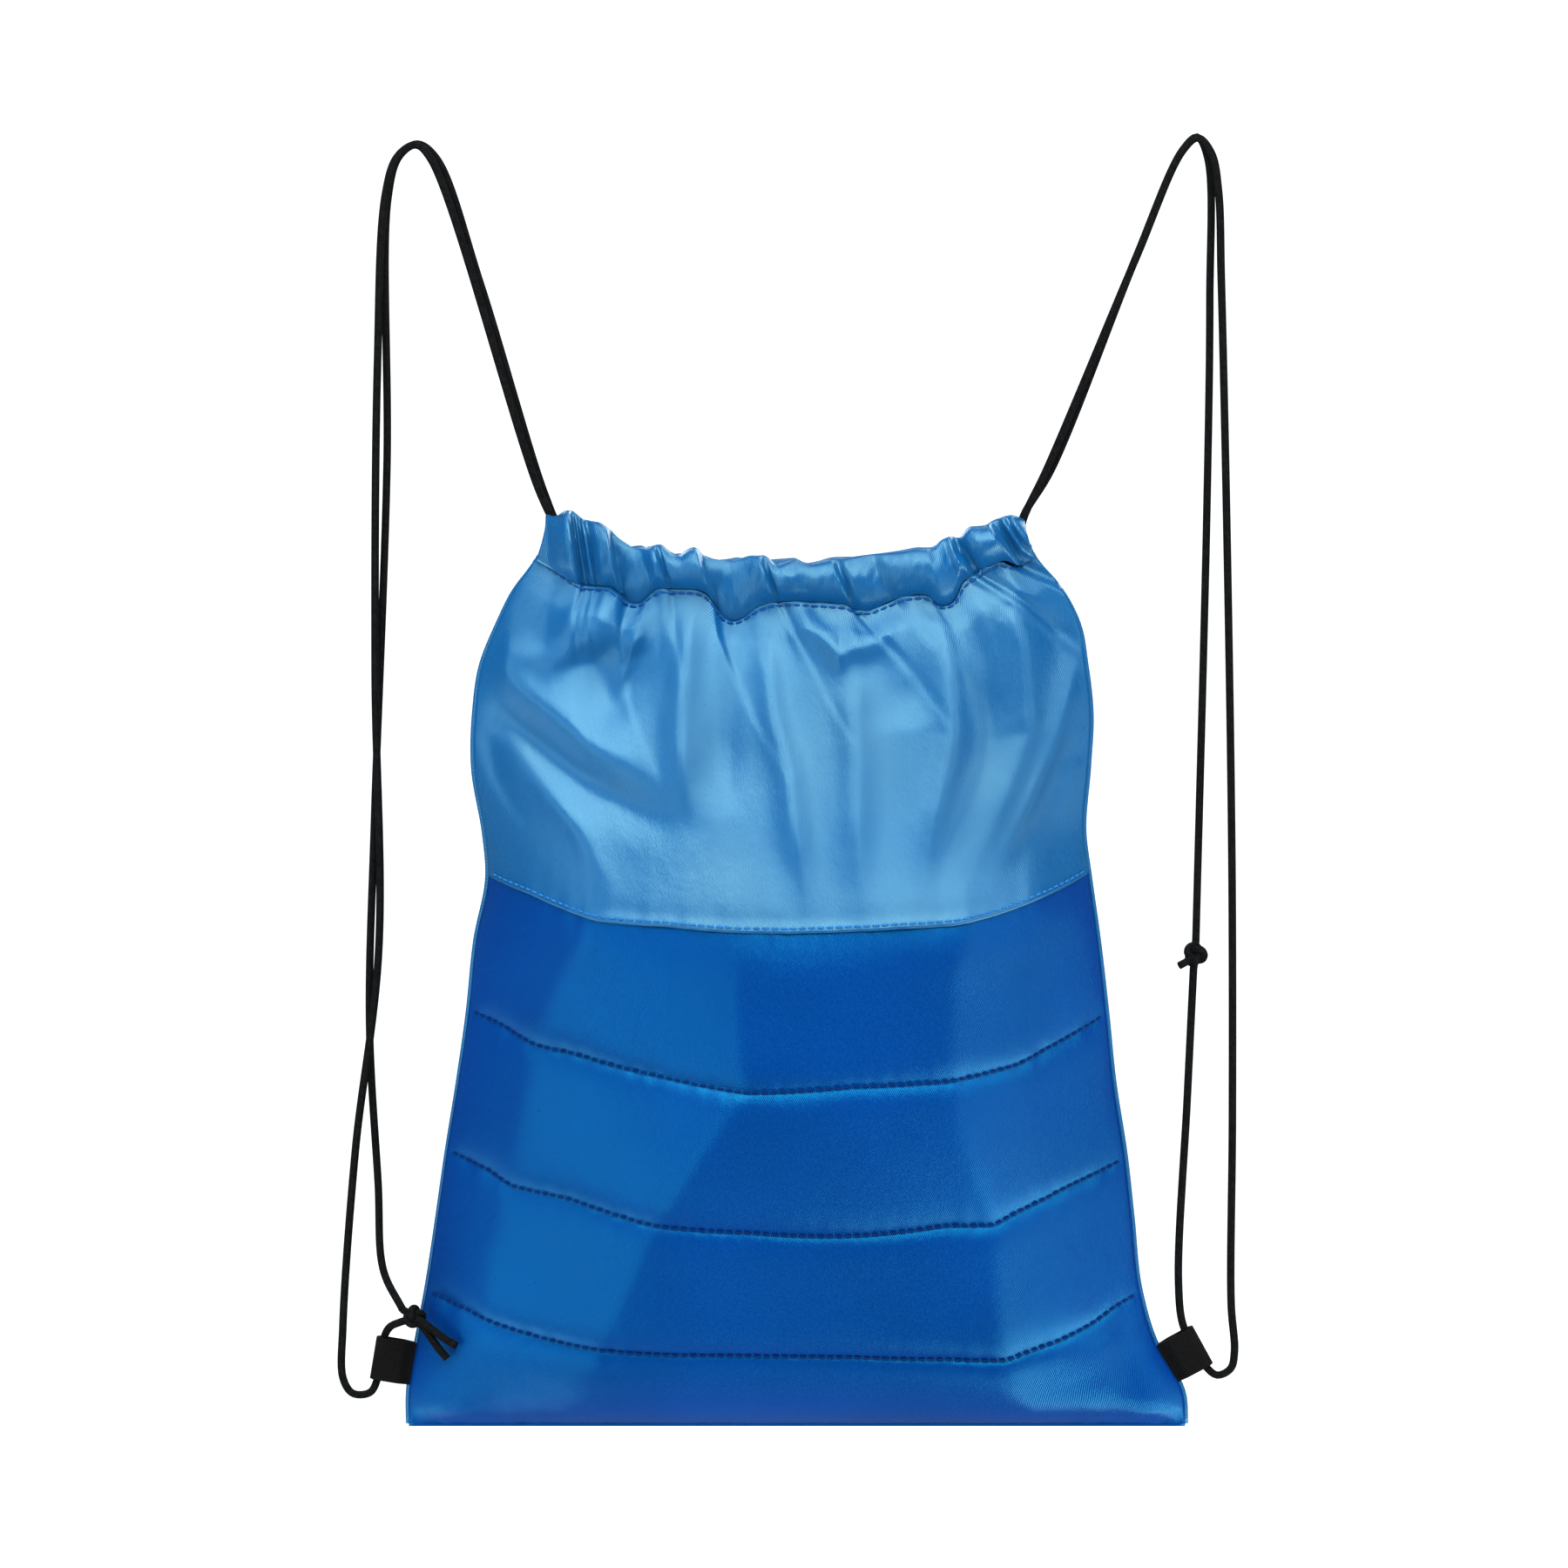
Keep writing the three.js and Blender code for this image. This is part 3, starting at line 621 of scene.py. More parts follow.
frontPleats = [
    (-0.96, 0), (-0.93, 3), (-0.89, 5), (-0.868, 5.2), (-0.856, -1.5), (-0.845, 2.4), (-0.831, -1.4),
    (-0.816, 2.4), (-0.802, -0.6), (-0.775, 2.2), (-0.74, 3.6), (-0.716, 4.4), (-0.704, -1.4),
    (-0.64, -1), (-0.58, 0.8), (-0.548, 4.2), (-0.53, 4), (-0.517, 1), (-0.5, 2.6), (-0.45, 3.2),
    (-0.38, 4.4), (-0.354, 5), (-0.34, -0.8), (-0.28, -1.5), (-0.235, -1.8), (-0.17, 0.4),
    (-0.13, 2.6), (-0.107, 3.8), (-0.094, 0.8), (-0.07, 2.6), (-0.02, 3), (0.04, 2), (0.09, 2.8),
    (0.18, 3.4), (0.198, 0.8), (0.23, 2.8), (0.3, 1.6), (0.345, 0.2), (0.385, 1.8), (0.485, 3.8),
    (0.56, 4.6), (0.6, 3.2), (0.63, 1.2), (0.655, 3), (0.67, -1), (0.684, -1), (0.704, 3), (0.74, 5),
    (0.79, 5.8), (0.81, 5.8), (0.824, -0.6), (0.85, 0.6), (0.866, 3.2), (0.88, 0.8), (0.9, 3.6),
    (0.93, 3), (0.96, 0),
]
backPleats = [
    (-0.96, 0), (-0.9, 4), (-0.86, -0.6), (-0.78, 4), (-0.7, 3.6), (-0.66, -0.8), (-0.58, 4),
    (-0.5, -0.4), (-0.4, 4.4), (-0.33, 3.4), (-0.28, -1), (-0.2, 4), (-0.12, 1), (-0.04, 4),
    (0.04, 4.4), (0.08, -0.8), (0.18, 3.6), (0.26, 4.2), (0.31, -0.6), (0.4, 4), (0.5, 1),
    (0.56, 4.2), (0.62, -1), (0.7, 4), (0.77, 4.4), (0.81, -0.6), (0.88, 4), (0.96, 0),
]
stitchRise = [
    (-1, 2.8), (-0.9, -0.4), (-0.82, -3.2), (-0.7, 0.4), (-0.625, -5.6), (-0.583, -5), (-0.55, -0.6),
    (-0.51, 4.1), (-0.355, 6.1), (-0.312, 4.5), (-0.274, -1.8), (-0.25, -6.4), (-0.207, -7.8),
    (-0.168, -5.9), (-0.116, -0.7), (-0.06, 1.9), (0.053, 2.7), (0.24, 0.4), (0.277, -2.8),
    (0.33, -3.8), (0.404, -1.1), (0.474, 1.1), (0.537, 0.7), (0.57, -0.5), (0.607, -6),
    (0.649, -7), (0.684, -5.1), (0.702, 1.7), (0.772, 4.7), (0.856, 7.2), (0.913, 1.8), (0.98, 3.8),
]
# these marks stand on tenth pixel columns of the photo, where its top edge was measured
rimRise = [
    (-0.955, 4.4), (-0.92, 5.3), (-0.885, 10), (-0.85, 10.6), (-0.814, 8), (-0.744, 9.3),
    (-0.709, 7.6), (-0.674, 4.1), (-0.604, 0.7), (-0.534, 4), (-0.498, 5.5), (-0.463, 2.5),
    (-0.428, 1.4), (-0.393, 5.2), (-0.358, 6.5), (-0.323, 1.6), (-0.218, 0.5), (-0.147, 4.1),
    (-0.077, 4.3), (-0.042, 0), (0.028, 2.5), (0.098, 0.4), (0.168, 2.1), (0.309, 2.9), (0.449, 3.2),
    (0.519, 3.6), (0.59, 2), (0.625, 4.8), (0.66, 5.4), (0.695, 2.9), (0.73, 7.8), (0.8, 6),
    (0.835, 7), (0.87, 7.2), (0.906, 6.9), (0.94, 4.1), (0.976, 0.1),
]


def tableAt(table, across, blur):
    marks, values = np.array(table).T
    near = [np.interp(across + shift, marks, values) for shift in np.linspace(-blur, blur, 5)]
    return sum(near) / len(near)


def pleatAt(side, across):
    return tableAt(frontPleats if side == "front" else backPleats, across, hem["blur"])


def riseAt(side, across):
    if side == "front":
        return tableAt(stitchRise, across, hem["riseBlur"])
    rise = hem["backRise"]
    return rise["mean"] + rise["wave"] * waver(across, across, rise["size"], 2)


def rimAt(side, across):
    if side == "front":
        return tableAt(rimRise, across, hem["riseBlur"]) + hem["cover"]
    rim = hem["backRim"]
    wave = rim["wave"] * waver(across, across, rim["size"], 5)
    return wave + rim["pleat"] * pleatAt("back", across) + rim["mean"]


def slantAt(across):
    return hem["slant"] + hem["fan"] * across


def pleatLift(out):
    # how far a lobe or a valley of the pleats shifts the cloth where it is sewn
    return np.where(out > 0, hem["lobeLift"] * out, hem["valleyLift"] * out)


def casingPoint(side, across, turn):
    # turn goes once round the casing's section from the stitched line, out, up and back
    climb = (1 - np.cos(tau * turn)) / 2
    out = pleatAt(side, across - slantAt(across) * (1 - climb))
    lift = pleatLift(out)
    foot = sackPoint(side, across, stitchHeight, lift, riseAt(side, across))
    tall = hem["height"] + rimAt(side, across) - riseAt(side, across)
    up = tall * climb
    flare = np.clip((np.abs(across) - hem["flareFrom"]) / hem["flareOver"], 0, 1)
    flare = flare * np.clip(1 - up / tall, 0, 1) ** 1.5
    foot[:, 0] += np.sign(across) * hem["flare"] * flare
    pinch = 1 - hem["pinch"] * np.exp(-up / hem["pinchReach"])
    sway = np.sin(tau * turn)
    # a lobe stands out all the way up, and a valley only at its foot, so that it lies in shade
    relief = np.where(out > 0, hem["lobeRelief"] * out, hem["valleyRelief"] * out * (1 - climb))
    # its side in the mouth hides the cords, and stops short of the other casing
    room = np.minimum(hem["inside"] + np.maximum(lift, 0), np.abs(foot[:, 1]) - hem["between"])
    deep = np.where(sway > 0, hem["depth"] + relief, np.maximum(room, 1))
    deep = deep + hem["dent"] * waver(across * hem["span"] / 2, up, hem["dentSize"], 6)
    away = -1 if side == "front" else 1
    foot[:, 1] += away * (deep * sway * pinch)
    foot[:, 2] += up
    return foot


def sewCasing(side):
    reach = hem["reach"]
    flip = 1 if side == "front" else -1

    def place(u, v):
        return casingPoint(side, flip * reach * (2 * u - 1), 1 - v)

    size = (sack["width"] * hem["gathered"], 2 * hem["height"])
    shape = bentGrid(hem["columns"], hem["rows"], place, size, wrapped=True)
    bmesh.ops.recalc_face_normals(shape, faces=shape.faces)
    piece = makePiece(f"hem_{side}_cloth", shape, plainLitCloth, "plain_cloth", f"hem_{side}")
    giveWall(piece, hem["wall"])


for side in ("front", "back"):
    sewCasing(side)
print("casings made")

# the quilted lower front: padding sewn down along lying lines, and bent in flat facets
quilt = {
    "lines": [0, 0.146, 0.299, 0.458, 0.613],
    "puff": 2.6,
    "groove": 0.9,  # half the width of a sewn line
    "flat": 7,  # how flat a band lies between its lines, from 2, round, upwards
    "ease": 0.8,  # share of the puff that is pressed flat under the seam to the upper front
    "easeReach": 14,
    "lining": 2.5,
    "seam": 1.8,  # thickness where it is sewn down
    "facet": 0.65,  # share of the roundness that the flat facets take away
    "facetBlur": 0.028,  # how far a crease is smoothed, as a share across
    "corner": 1.5,  # how far the whole then stands out again
    "swayBlur": 0.008,
    "pucker": {"lift": 0.4, "size": 9, "lean": 0, "seed": 1, "reach": 6},
    "dent": 0.5,  # slow dents, which fade towards the lines
    "dentSize": 80,
    "dentReach": 20,
    "start": 8,  # folds and facets grow over this length from the bottom seam
    "foldEnd": 10,  # how near the side seams the folds reach, as a power
    "puffEnd": 30,  # and the puff
    "columns": 250,
    "rows": 184,
    "crowd": 0.8,  # how much the rows crowd towards the lines
    "span": (310, quiltTop),
}
quiltLines = np.array(quilt["lines"]) * sack["height"]
# creases that run down the padding: how far across each is at the bottom seam and at each line
creases = [
    (-0.9, -0.869, -0.814, -0.79, -0.641),
    (-0.6, -0.527, -0.397, -0.131, -0.16),
    (0.6, 0.616, 0.611, 0.504, 0.577),
    (0.85, 0.817, 0.79, 0.73, 0.818),
]
# how each line rises and falls, from the bottom seam up
lineSways = [
    [(-1, 0), (1, 0)],
    [(-1, 1.8), (-0.9, 2.1), (-0.81, 0.5), (-0.53, 0.4), (-0.12, 1), (0.2, 0), (0.45, -3.1),
     (0.62, -7.6), (0.68, -6), (0.78, -5), (0.87, -2.9), (0.93, 0.1), (1, 0.7)],
    [(-1, 3.2), (-0.88, 2.4), (-0.81, -0.8), (-0.64, 2.4), (-0.4, 0.1), (-0.1, 1), (0.1, -1.1),
     (0.26, -2.5), (0.47, -3.5), (0.61, -8.3), (0.67, -5.8), (0.83, -2.4), (1, -1)],
    [(-1, 1.8), (-0.9, 2.3), (-0.79, -0.6), (-0.67, 1.6), (-0.37, 0.8), (-0.13, -1.3), (0.2, 0.1),
     (0.4, -2.1), (0.51, -4), (0.72, -5.6), (0.8, -3.7), (0.96, -0.9), (1, 0)],
    [(-1, 0.2), (-0.86, 2.1), (-0.64, 0.5), (-0.41, 2.7), (0, 1.5), (0.38, 2.3), (0.55, 0.9),
     (0.82, 1.9), (1, 1.6)],
]
quiltFolds = [
    # corners that turn up a little beside the bottom seam
    ([(-1.1, 0.03), (-0.75, 0.02)], 5, 3, 12, 1.4),
    ([(1.1, 0.03), (0.8, 0.02)], 6, 4, 12, 1.4),
    # pinched wrinkles under the right end of the lowest line, and two pressed creases
    ([(0.95, 0.235), (0.9, 0.12), (0.88, 0.05)], -3.2, -0.8, 5, 1.3),
    ([(0.9, 0.21), (0.86, 0.07)], 2.2, 0.4, 6, 1.4),
    ([(-0.444, 1), (-0.44, 0.85)], 0.15, 0.12, 1.2, 2),
    ([(-0.398, 1), (-0.371, 0.6)], 0.15, 0.12, 1.2, 2),
]


def bandAt(height):
    # the band that a height lies in, and how far up it
    k = np.clip(np.searchsorted(quiltLines, height) - 1, 0, len(quiltLines) - 2)
    return k, np.clip((height - quiltLines[k]) / (quiltLines[k + 1] - quiltLines[k]), 0, 1)


def bandSwell(height):
    # 0 on a sewn line, 1 in the middle of a band
    k, t = bandAt(height)
    edge = quilt["groove"] / (quiltLines[k + 1] - quiltLines[k])
    t = np.clip((t - edge) / (1 - 2 * edge), 0, 1)
    return 1 - np.abs(2 * t - 1) ** quilt["flat"]


def swayAt(across, height):
    k, t = bandAt(height)
    rises = np.array([tableAt(sway, across, quilt["swayBlur"]) for sway in lineSways])
    row = np.arange(len(across))
    return rises[k, row] * (1 - t) + rises[k + 1, row] * t


def facetLift(across, height):
    # how far the flat facets between the creases lie off the round form
    _, _, front, _, _, rounding, _ = sectionAt(height / sack["height"])

    def swell(place):
        return front * sack["front"] * (1 - np.abs(place) ** rounding)

    edge = np.ones_like(across)
    marks = [-edge, *(np.interp(height, quiltLines, crease) for crease in creases), edge]
    near = []
    for shift in np.linspace(-quilt["facetBlur"], quilt["facetBlur"], 5):
        place = np.clip(across + shift, -1, 1)
        lift = np.zeros_like(across)
        for left, right in zip(marks, marks[1:]):
            share = (place - left) / (right - left)
            flat = swell(left) + (swell(right) - swell(left)) * share
            lift = np.where((share >= 0) & (share <= 1), flat - swell(place), lift)
        near.append(lift)
    return quilt["facet"] * sum(near) / len(near) + quilt["corner"] * (1 - across**6)


def quiltSpread(v):
    bands = len(quiltLines) - 1
    k = np.clip(np.floor(v * bands), 0, bands - 1).astype(int)
    t = v * bands - k
    t = t - quilt["crowd"] * np.sin(tau * t) / tau
    return (quiltLines[k] + (quiltLines[k + 1] - quiltLines[k]) * t) / quiltTop


def quiltPoint(across, up):
    height = up * quiltTop
    x = across * quilt["span"][0] / 2
    near = np.min(np.abs(height[:, None] - quiltLines[None, :]), axis=1)
    start = np.clip(height / quilt["start"], 0, 1)
    lift = (foldLift(quiltFolds, across, up, quilt["span"]) + facetLift(across, height)) * start
    dent = quilt["dent"] * waver(x, height, quilt["dentSize"], 4)
    lift = lift + dent * np.clip(near / quilt["dentReach"], 0, 1) + shelfAt(height)
    ease = 1 - quilt["ease"] * np.exp(-(((quiltTop - height) / quilt["easeReach"]) ** 2))
    body = quilt["puff"] * bandSwell(height) * ease + wrinkles(quilt["pucker"], x, height, near)
    lift = lift * (1 - np.abs(across) ** quilt["foldEnd"])
    lift = lift + body * (1 - np.abs(across) ** quilt["puffEnd"])
    return sackPoint("front", across, height, lift, swayAt(across, height))


def sewQuiltedFront():
    def place(u, v):
        return quiltPoint(2 * u - 1, v)

    size = (sack["width"], quiltTop)
    shape = bentGrid(quilt["columns"], quilt["rows"], place, size, spread=quiltSpread)
    piece = makePiece("quilted_front_cloth", shape, quiltedShadedCloth, "quilted_cloth", "quilted_front")
    # the padding's thickness, most in the middle of each band
    padding = piece.vertex_groups.new(name="padding")
    full = quilt["seam"] + quilt["puff"] + quilt["lining"]
    heights = quiltSpread(np.arange(quilt["rows"] + 1) / quilt["rows"]) * quiltTop
    shares = (quilt["seam"] + (full - quilt["seam"]) * bandSwell(heights)) / full
    for row, share in enumerate(shares):
        first = row * (quilt["columns"] + 1)
        padding.add(range(first, first + quilt["columns"] + 1), float(share), "REPLACE")
    giveWall(piece, full, group="padding")


# the plain upper front: cloth that falls from the gathers in long folds
upper = {
    "columns": 250,
    "rows": 130,
    "span": (280, stitchHeight - quiltTop),
    "wall": 1,
    "lap": 1.5,  # how far it reaches down over the quilted front
    "lapLift": 1.3,
    "lapReach": 4,
    "folds": 1.25,  # what every fold's lift is multiplied by
    "start": 12,  # the folds grow over this length down from the stitched line
    "settle": 55,  # and over this one up from the seam
    "dent": 0.8,
    "dentSize": 70,
    "gather": {"lift": 0.9, "size": 12, "lean": 0.14, "seed": 8, "reach": 34},
    "pucker": {"lift": 0.45, "size": 12, "lean": 0.3, "seed": 9, "reach": 12},
    "facets": 35,  # how far up the facets of the quilted front carry on
    "sway": 25,  # and the rise and fall of its top line
    "end": 14,  # how near the side seams the folds reach, as a power
}
upperFolds = [
    # left shoulder and the lap under it
    ([(-1, 1), (-1, 0.74)], 3, 2, 9, 2),
    ([(-0.68, 1.1), (-0.72, 0.92), (-0.78, 0.74)], 9, 5, 14, 1.6),
    ([(-0.99, 0.72), (-0.85, 0.76), (-0.7, 0.78)], 4, 2, 6, 1.3),
    # the long sweep from the left side, and the valley and ridge below it
    ([(-1.1, 0.74), (-0.75, 0.61), (-0.3, 0.4)], 5, 4.5, 9, 1.3),
    ([(-1, 0.58), (-0.64, 0.42), (-0.25, 0.28)], -4, -3, 9, 1.5),
    ([(-0.95, 0.55), (-0.67, 0.28), (-0.45, -0.2)], 2.5, 4, 7, 1.3),
    # pocket under the gathers, with a bright pinch over it
    ([(-0.7, 0.86), (-0.56, 0.68), (-0.4, 0.86)], -5, -3, 9, 1.5),
    ([(-0.585, 0.99), (-0.53, 0.8)], 2, 5, 4, 1.4),
    # columns that fall from the gathers
    ([(-0.37, 0.98), (-0.31, 0.3)], 2.5, 4, 6, 1.4),
    ([(-0.22, 1.05), (-0.18, 0.35)], 3, -5, 7, 1.6),
    ([(-0.13, 1), (0.02, 0.49), (0.12, -0.2)], 3, 4, 6, 1.3),
    ([(0.02, 1), (0.18, 0.86), (0.44, 0.95)], 4, 5, 6, 1.3),
    ([(0.22, 0.9), (0.26, -0.2)], 3, 3.5, 7, 1.4),
    ([(0.4, 1), (0.41, 0.6)], 3, -4, 9, 1.6),
    ([(0.54, 1), (0.553, 0.59), (0.4, -0.1)], 3, 4.5, 6.5, 1.4),
    ([(0.66, 1.1), (0.67, 0.35)], 3, -4.5, 8, 1.6),
    # right shoulder and its slanting folds
    ([(0.9, 1.05), (0.81, 0.85), (0.8, 0.53), (0.55, -0.1)], 3, 5, 8, 1.3),
    ([(0.97, 1.1), (0.92, 0.65)], 4, -5, 8, 1.6),
    ([(0.99, 0.72), (0.84, 0.38), (0.6, -0.1)], 4, 4, 5, 1.2),
    ([(0.98, 0.4), (0.91, 0.17)], 2.5, 1, 5, 1.5),
    ([(-0.98, 0.5), (-0.92, 0.34), (-0.82, 0.2)], -2, -1, 4, 1.5),
]


def upperPoint(across, up):
    tall = upper["span"][1]
    height = quiltTop - upper["lap"] + up * (tall + upper["lap"])
    left = tall * (1 - up)  # distance down from the stitched line
    ruffle = np.exp(-left / hem["ruffle"])
    x = across * upper["span"][0] / 2
    lift = foldLift(upperFolds, across, up, upper["span"]) * np.clip(left / upper["start"], 0, 1)
    lift = lift * upper["folds"]
    settle = np.clip(up * tall / upper["settle"], 0, 1)
    dent = upper["dent"] * waver(x, height, upper["dentSize"], 3)
    lift = lift * settle**2 * (3 - 2 * settle) + dent + shelfAt(height)
    # fine gathers under the mouth, and short puckers above the seam
    lift = lift + wrinkles(upper["gather"], x, height, left)
    lift = lift + wrinkles(upper["pucker"], x, height, up * tall)
    lift = lift + upper["lapLift"] * np.exp(-((up * tall / upper["lapReach"]) ** 2))
    over = np.maximum(height - quiltTop, 0)
    lift = lift + facetLift(across, height) * np.exp(-((over / upper["facets"]) ** 2))
    pleat = pleatAt("front", across - slantAt(across) * (1 + left / hem["height"]))
    lift = lift * (1 - np.abs(across) ** upper["end"]) + pleatLift(pleat) * ruffle
    sway = swayAt(across, height) * np.exp(-over / upper["sway"])
    return sackPoint("front", across, height, lift, riseAt("front", across) * ruffle + sway)


def sewUpperFront():
    def place(u, v):
        return upperPoint(2 * u - 1, v)

    size = (sack["width"], upper["span"][1])
    shape = bentGrid(upper["columns"], upper["rows"], place, size)
    piece = makePiece("upper_front_cloth", shape, plainLitCloth, "plain_cloth", "upper_front")
    giveWall(piece, upper["wall"])


# the plain back, one panel from the bottom seam to the mouth
back = {
    "columns": 200,
    "rows": 200,
    "wall": 1,
    "span": (310, stitchHeight),
    "start": 12,  # the folds grow over this length down from the stitched line
    "foot": 16,  # and over this one up from the bottom seam
    "dent": 1.2,
    "dentSize": 90,
    "end": 14,  # how near the side seams the folds reach, as a power
}
backFolds = [
    # down from the gathers
    ([(-0.78, 1.05), (-0.5, 0.7), (-0.2, 0.3)], 5, 4, 9, 1.4),
    ([(-0.42, 1.05), (-0.33, 0.55)], -4, -5, 8, 1.6),
    ([(-0.2, 1.05), (-0.1, 0.6), (-0.04, 0.35)], 4, 4, 7, 1.4),
    ([(0.1, 1.05), (0.13, 0.75), (0.2, 0.35)], 5, 5, 8, 1.4),
    ([(0.36, 1.05), (0.33, 0.55)], -4, -5, 8, 1.6),
    ([(0.6, 1.05), (0.48, 0.7), (0.36, 0.4)], 5, 4, 8, 1.4),
    ([(0.86, 1.02), (0.72, 0.75), (0.62, 0.42)], 4, 4, 9, 1.4),
    # in from the sides
    ([(-1.15, 0.66), (-0.6, 0.52), (-0.2, 0.5)], 4, 4, 9, 1.4),
    ([(1.15, 0.6), (0.6, 0.46), (0.3, 0.46)], 4, 4, 9, 1.4),
    ([(-1.15, 0.36), (-0.35, 0.2)], -4, -4, 11, 1.5),
    ([(1.15, 0.3), (0.4, 0.18)], -4, -4, 11, 1.5),
    # up from the corners
    ([(-1.05, -0.02), (-0.6, 0.17), (-0.15, 0.3)], 4, 4, 9, 1.4),
    ([(1.05, -0.02), (0.6, 0.17), (0.2, 0.32)], 4, 4, 9, 1.4),
]


def backPoint(across, up):
    height = up * stitchHeight
    left = stitchHeight - height
    ruffle = np.exp(-left / hem["ruffle"])
    x = across * back["span"][0] / 2
    lift = foldLift(backFolds, across, up, back["span"]) * np.clip(left / back["start"], 0, 1)
    dent = back["dent"] * waver(x, height, back["dentSize"], 7)
    lift = (lift + dent) * np.clip(height / back["foot"], 0, 1)
    pleat = pleatAt("back", across - slantAt(across) * (1 + left / hem["height"]))
    lift = lift * (1 - np.abs(across) ** back["end"]) + pleatLift(pleat) * ruffle
    return sackPoint("back", across, height, lift, riseAt("back", across) * ruffle)


def sewBackPanel():
    def place(u, v):
        return backPoint(1 - 2 * u, v)

    size = (sack["width"], stitchHeight)
    shape = bentGrid(back["columns"], back["rows"], place, size)
    piece = makePiece("back_panel_cloth", shape, plainLitCloth, "plain_cloth", "back_panel")
    giveWall(piece, back["wall"])


sewQuiltedFront()
sewUpperFront()
sewBackPanel()
print("panels made")

# seams: the folded edges that close the sides and the bottom
seam = {"wide": 1.5, "deep": 1.5, "step": 3, "sides": 10, "marks": 120}


def foldEdge(across, heights):
    line = sackPoint("front", across, heights, 0)
    line[:, 1] = 0
    return sweptTube(evenLine(line, seam["step"]), (seam["wide"], seam["deep"]), seam["sides"])


def sewSeams():
    heights = np.linspace(0, stitchHeight, seam["marks"])
    for name, edge in (("left", -1), ("right", 1)):
        shape = foldEdge(np.full_like(heights, edge), heights)
        makePiece(f"side_seam_{name}", shape, plainLitCloth, "plain_cloth")
    across = np.linspace(-1, 1, seam["marks"])
    shape = foldEdge(across, np.zeros_like(across))
    makePiece("bottom_seam", shape, quiltedShadedCloth, "quilted_cloth")


sewSeams()

# stitches: short lengths of thread that lie in the sewn lines
stitch = {
    "pitch": 4.2,
    "length": 3.4,
    "thick": 1.1,
    "sink": 0.1,  # how deep the threads lie in the cloth
    "reach": 0.985,  # how far a line runs towards the side seams
    "marks": 300,
    "yokeUp": 0.016,  # where its line lies on the upper front, as a share of its height
    "hemUp": 0.988,
}


def sewStitches(name, line, outwards, thread, slot):
    shape = bmesh.new()
    line = evenLine(line, stitch["pitch"])
    for a, b in zip(line, line[1:]):
        middle = (a + b) / 2 + np.array(outwards) * (stitch["thick"] / 2 - stitch["sink"])
        turn = Vector(b - a).to_track_quat("Z", "Y").to_matrix().to_4x4()
        size = Matrix.Diagonal(
            (stitch["thick"] / 2 * mm, stitch["thick"] / 2 * mm, stitch["length"] / 2 * mm, 1)
        )
        bmesh.ops.create_uvsphere(
            shape,
            u_segments=6,
            v_segments=5,
            radius=1,
            matrix=Matrix.Translation(Vector(middle) * mm) @ turn @ size,
        )
    makePiece(name, shape, thread, slot)


def sewAllStitches():
    front, rear = (0, -1, 0), (0, 1, 0)
    across = np.linspace(-stitch["reach"], stitch["reach"], stitch["marks"])
    for k, line in enumerate(quiltLines[1:-1]):
        sewn = quiltPoint(across, np.full_like(across, line / quiltTop))
        sewStitches(f"quilt_stitches_{k + 1}", sewn, front, shadedThread, "quilted_cloth")
    above = upperPoint(across, np.full_like(across, stitch["yokeUp"]))
    sewStitches("yoke_stitches", above, front, litThread, "plain_cloth")
    reach = np.linspace(-hem["reach"], hem["reach"], stitch["marks"])
    top = np.full_like(reach, stitch["hemUp"])
    for side, point, outwards in (("front", upperPoint, front), ("back", backPoint, rear)):
        sewn = point(reach, top)
        sewStitches(f"hem_stitches_{side}", sewn, outwards, hemThread, "plain_cloth")


sewAllStitches()
print("seams and stitches made")

# tabs: webbing folded round the cord and sewn into the side seam
tab = {
    "webbing": 20,
    "ply": 1.2,
    "reach": 19,
    "taper": 6,
    "round": 2.8,  # middle of the ply, round the cord
    "sewn": [(-1.5, 0.7), (2, 1.2)],  # half the fold in the seam: how far out, how far apart
    "rows": 24,
    "step": 0.8,
    "edge": 0.3,
    # where it leaves the side seam, and its turn about y in degrees
    "places": {"left": ((-182.3, 0, -564), -170.59), "right": ((166, 0, -564), -28.65)},
}


def foldTab(side):
    (x, y, z), angle = tab["places"][side]
    bend = tab["reach"] - tab["round"] - tab["ply"] / 2
    arc = np.linspace(-pi / 2, pi / 2, 16)
    half = [*tab["sewn"], (tab["taper"], tab["round"])]
    outline = [(out, -apart, 0) for out, apart in half]
    outline += [(bend + tab["round"] * cos(a), tab["round"] * sin(a), 0) for a in arc]
    outline += [(out, apart, 0) for out, apart in reversed(half)]
    ply = evenLine(np.array(outline, dtype=float), tab["step"])
    turn = radians(angle)

    def place(u, v):
        local = ply[np.rint(u * (len(ply) - 1)).astype(int)]
        rise = (v - 0.5) * tab["webbing"]
        return np.column_stack([
            x + local[:, 0] * cos(turn) + rise * sin(turn),
            y + local[:, 1],
            z - local[:, 0] * sin(turn) + rise * cos(turn),
        ])

    shape = bentGrid(len(ply) - 1, tab["rows"], place, (lineLength(ply), tab["webbing"]))
    piece = makePiece(f"tab_{side}_webbing", shape, webbing, "webbing", f"tab_{side}")
    giveWall(piece, tab["ply"], offset=0)
    rounding = piece.modifiers.new("edge", "BEVEL")
    rounding.width = tab["edge"] * mm
    rounding.segments = 2


for side in ("left", "right"):
    foldTab(side)
print("tabs made")

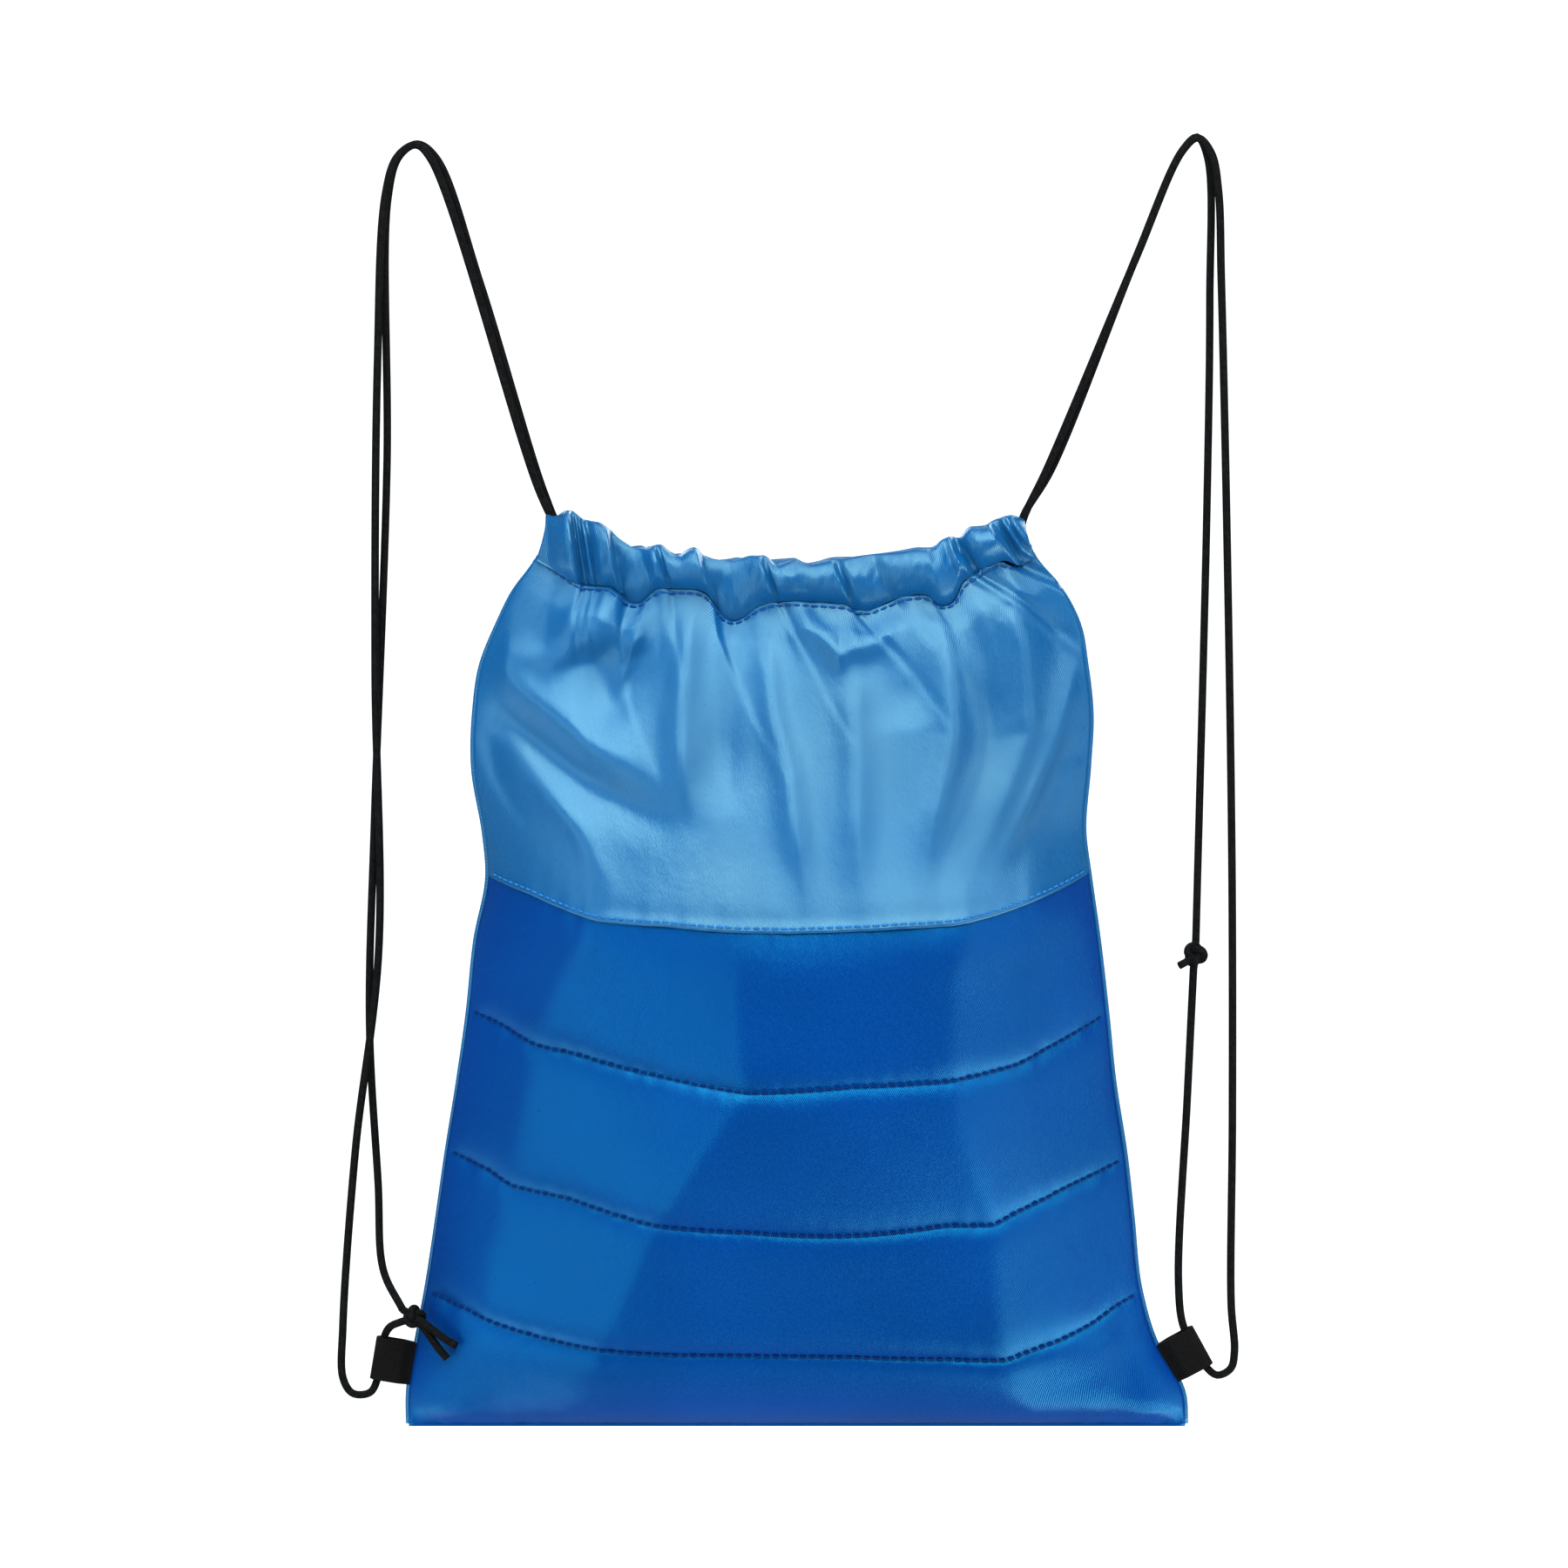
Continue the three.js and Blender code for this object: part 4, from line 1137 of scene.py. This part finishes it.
# studio: a pale floor, a soft sun from above and soft boxes round the sack
studio = {
    "floorDrop": 1100,  # below the lowest seam, as the sack hangs at shoulder height
    "floorSize": 60,  # metres
    "floor": "#f4f5f6",
    "glow": 0.4,  # light through the sweep from below
    "gamma": 0.85,  # under 1 for the firm contrast of a product photograph
    "world": 0.15,
    "sky": "#f2f5fa",
    "sun": 2.5,
    "sunAngle": 50,  # how wide it seems, in degrees, which softens its shadows
    "sunTilt": 16,  # degrees from straight above, towards the front
    # name, azimuth and elevation as seen from the sack, distance and size in m, power in W
    "boxes": [
        ("top_box", 0, 37, 1.9, (1.2, 1), 22),
        ("top_left_box", -46, 37, 1.9, (0.65, 1), 10),
        ("top_right_box", 48, 37, 1.9, (0.7, 1), 12),
        ("left_box", -50, -10, 1.8, (0.55, 1.7), 10),
        ("right_box", 80, -20, 1.8, (0.7, 1.6), 7),
        ("low_left_box", -92, -48, 1.2, (0.8, 0.8), 4),
        ("low_right_box", 85, -48, 1.2, (0.8, 0.8), 7),
        # lights the back for views from there
        ("back_left_box", -150, 25, 2.2, (1, 1.6), 22),
        ("back_right_box", 150, 25, 2.2, (1, 1.6), 22),
    ],
}


def layFloor():
    # matt paper sweep, pale and even, with a faint tooth
    material, tree = startMaterial("paper_sweep")
    place = addNode(tree, "ShaderNodeTexCoord")
    tooth = addNoise(tree, place.outputs["Object"], 60, 3)
    bump = addBump(tree, tooth.outputs["Fac"], 0.05, 0.001)
    endMaterial(
        tree,
        {"Base Color": fromHex(studio["floor"]), "Roughness": 0.9, "Normal": bump.outputs[0],
         "Specular IOR Level": 0.1, "Emission Color": fromHex(studio["floor"]),
         "Emission Strength": studio["glow"]},
    )
    shape = bmesh.new()
    level = Matrix.Translation((0, 0, (bottomZ - studio["floorDrop"]) * mm))
    bmesh.ops.create_grid(
        shape, x_segments=2, y_segments=2, size=studio["floorSize"] / 2, matrix=level
    )
    floor = linkMesh("floor", shape, material)
    floor.visible_glossy = False  # keeps its glare off the cloth


def lightStudio():
    scene = bpy.context.scene
    scene.view_settings.view_transform = "Standard"
    scene.view_settings.gamma = studio["gamma"]
    scene.world = bpy.data.worlds.new("studio")
    scene.world.use_nodes = True
    sky = scene.world.node_tree.nodes["Background"]
    sky.inputs["Color"].default_value = fromHex(studio["sky"])
    sky.inputs["Strength"].default_value = studio["world"]
    sun = bpy.data.lights.new("sun", "SUN")
    sun.energy = studio["sun"]
    sun.angle = radians(studio["sunAngle"])
    lamp = bpy.data.objects.new("sun", sun)
    lamp.rotation_euler = (radians(studio["sunTilt"]), 0, 0)
    bpy.context.collection.objects.link(lamp)
    middle = Vector(view["target"]) * mm
    for name, azimuth, elevation, distance, size, power in studio["boxes"]:
        light = bpy.data.lights.new(name, "AREA")
        light.shape = "RECTANGLE"
        light.size, light.size_y = size
        light.energy = power
        way = Vector((
            sin(radians(azimuth)) * cos(radians(elevation)),
            -cos(radians(azimuth)) * cos(radians(elevation)),
            sin(radians(elevation)),
        ))
        lamp = bpy.data.objects.new(name, light)
        lamp.location = middle + way * distance
        lamp.rotation_euler = way.to_track_quat("Z", "Y").to_euler()
        bpy.context.collection.objects.link(lamp)


layFloor()
lightStudio()
print("studio lit")
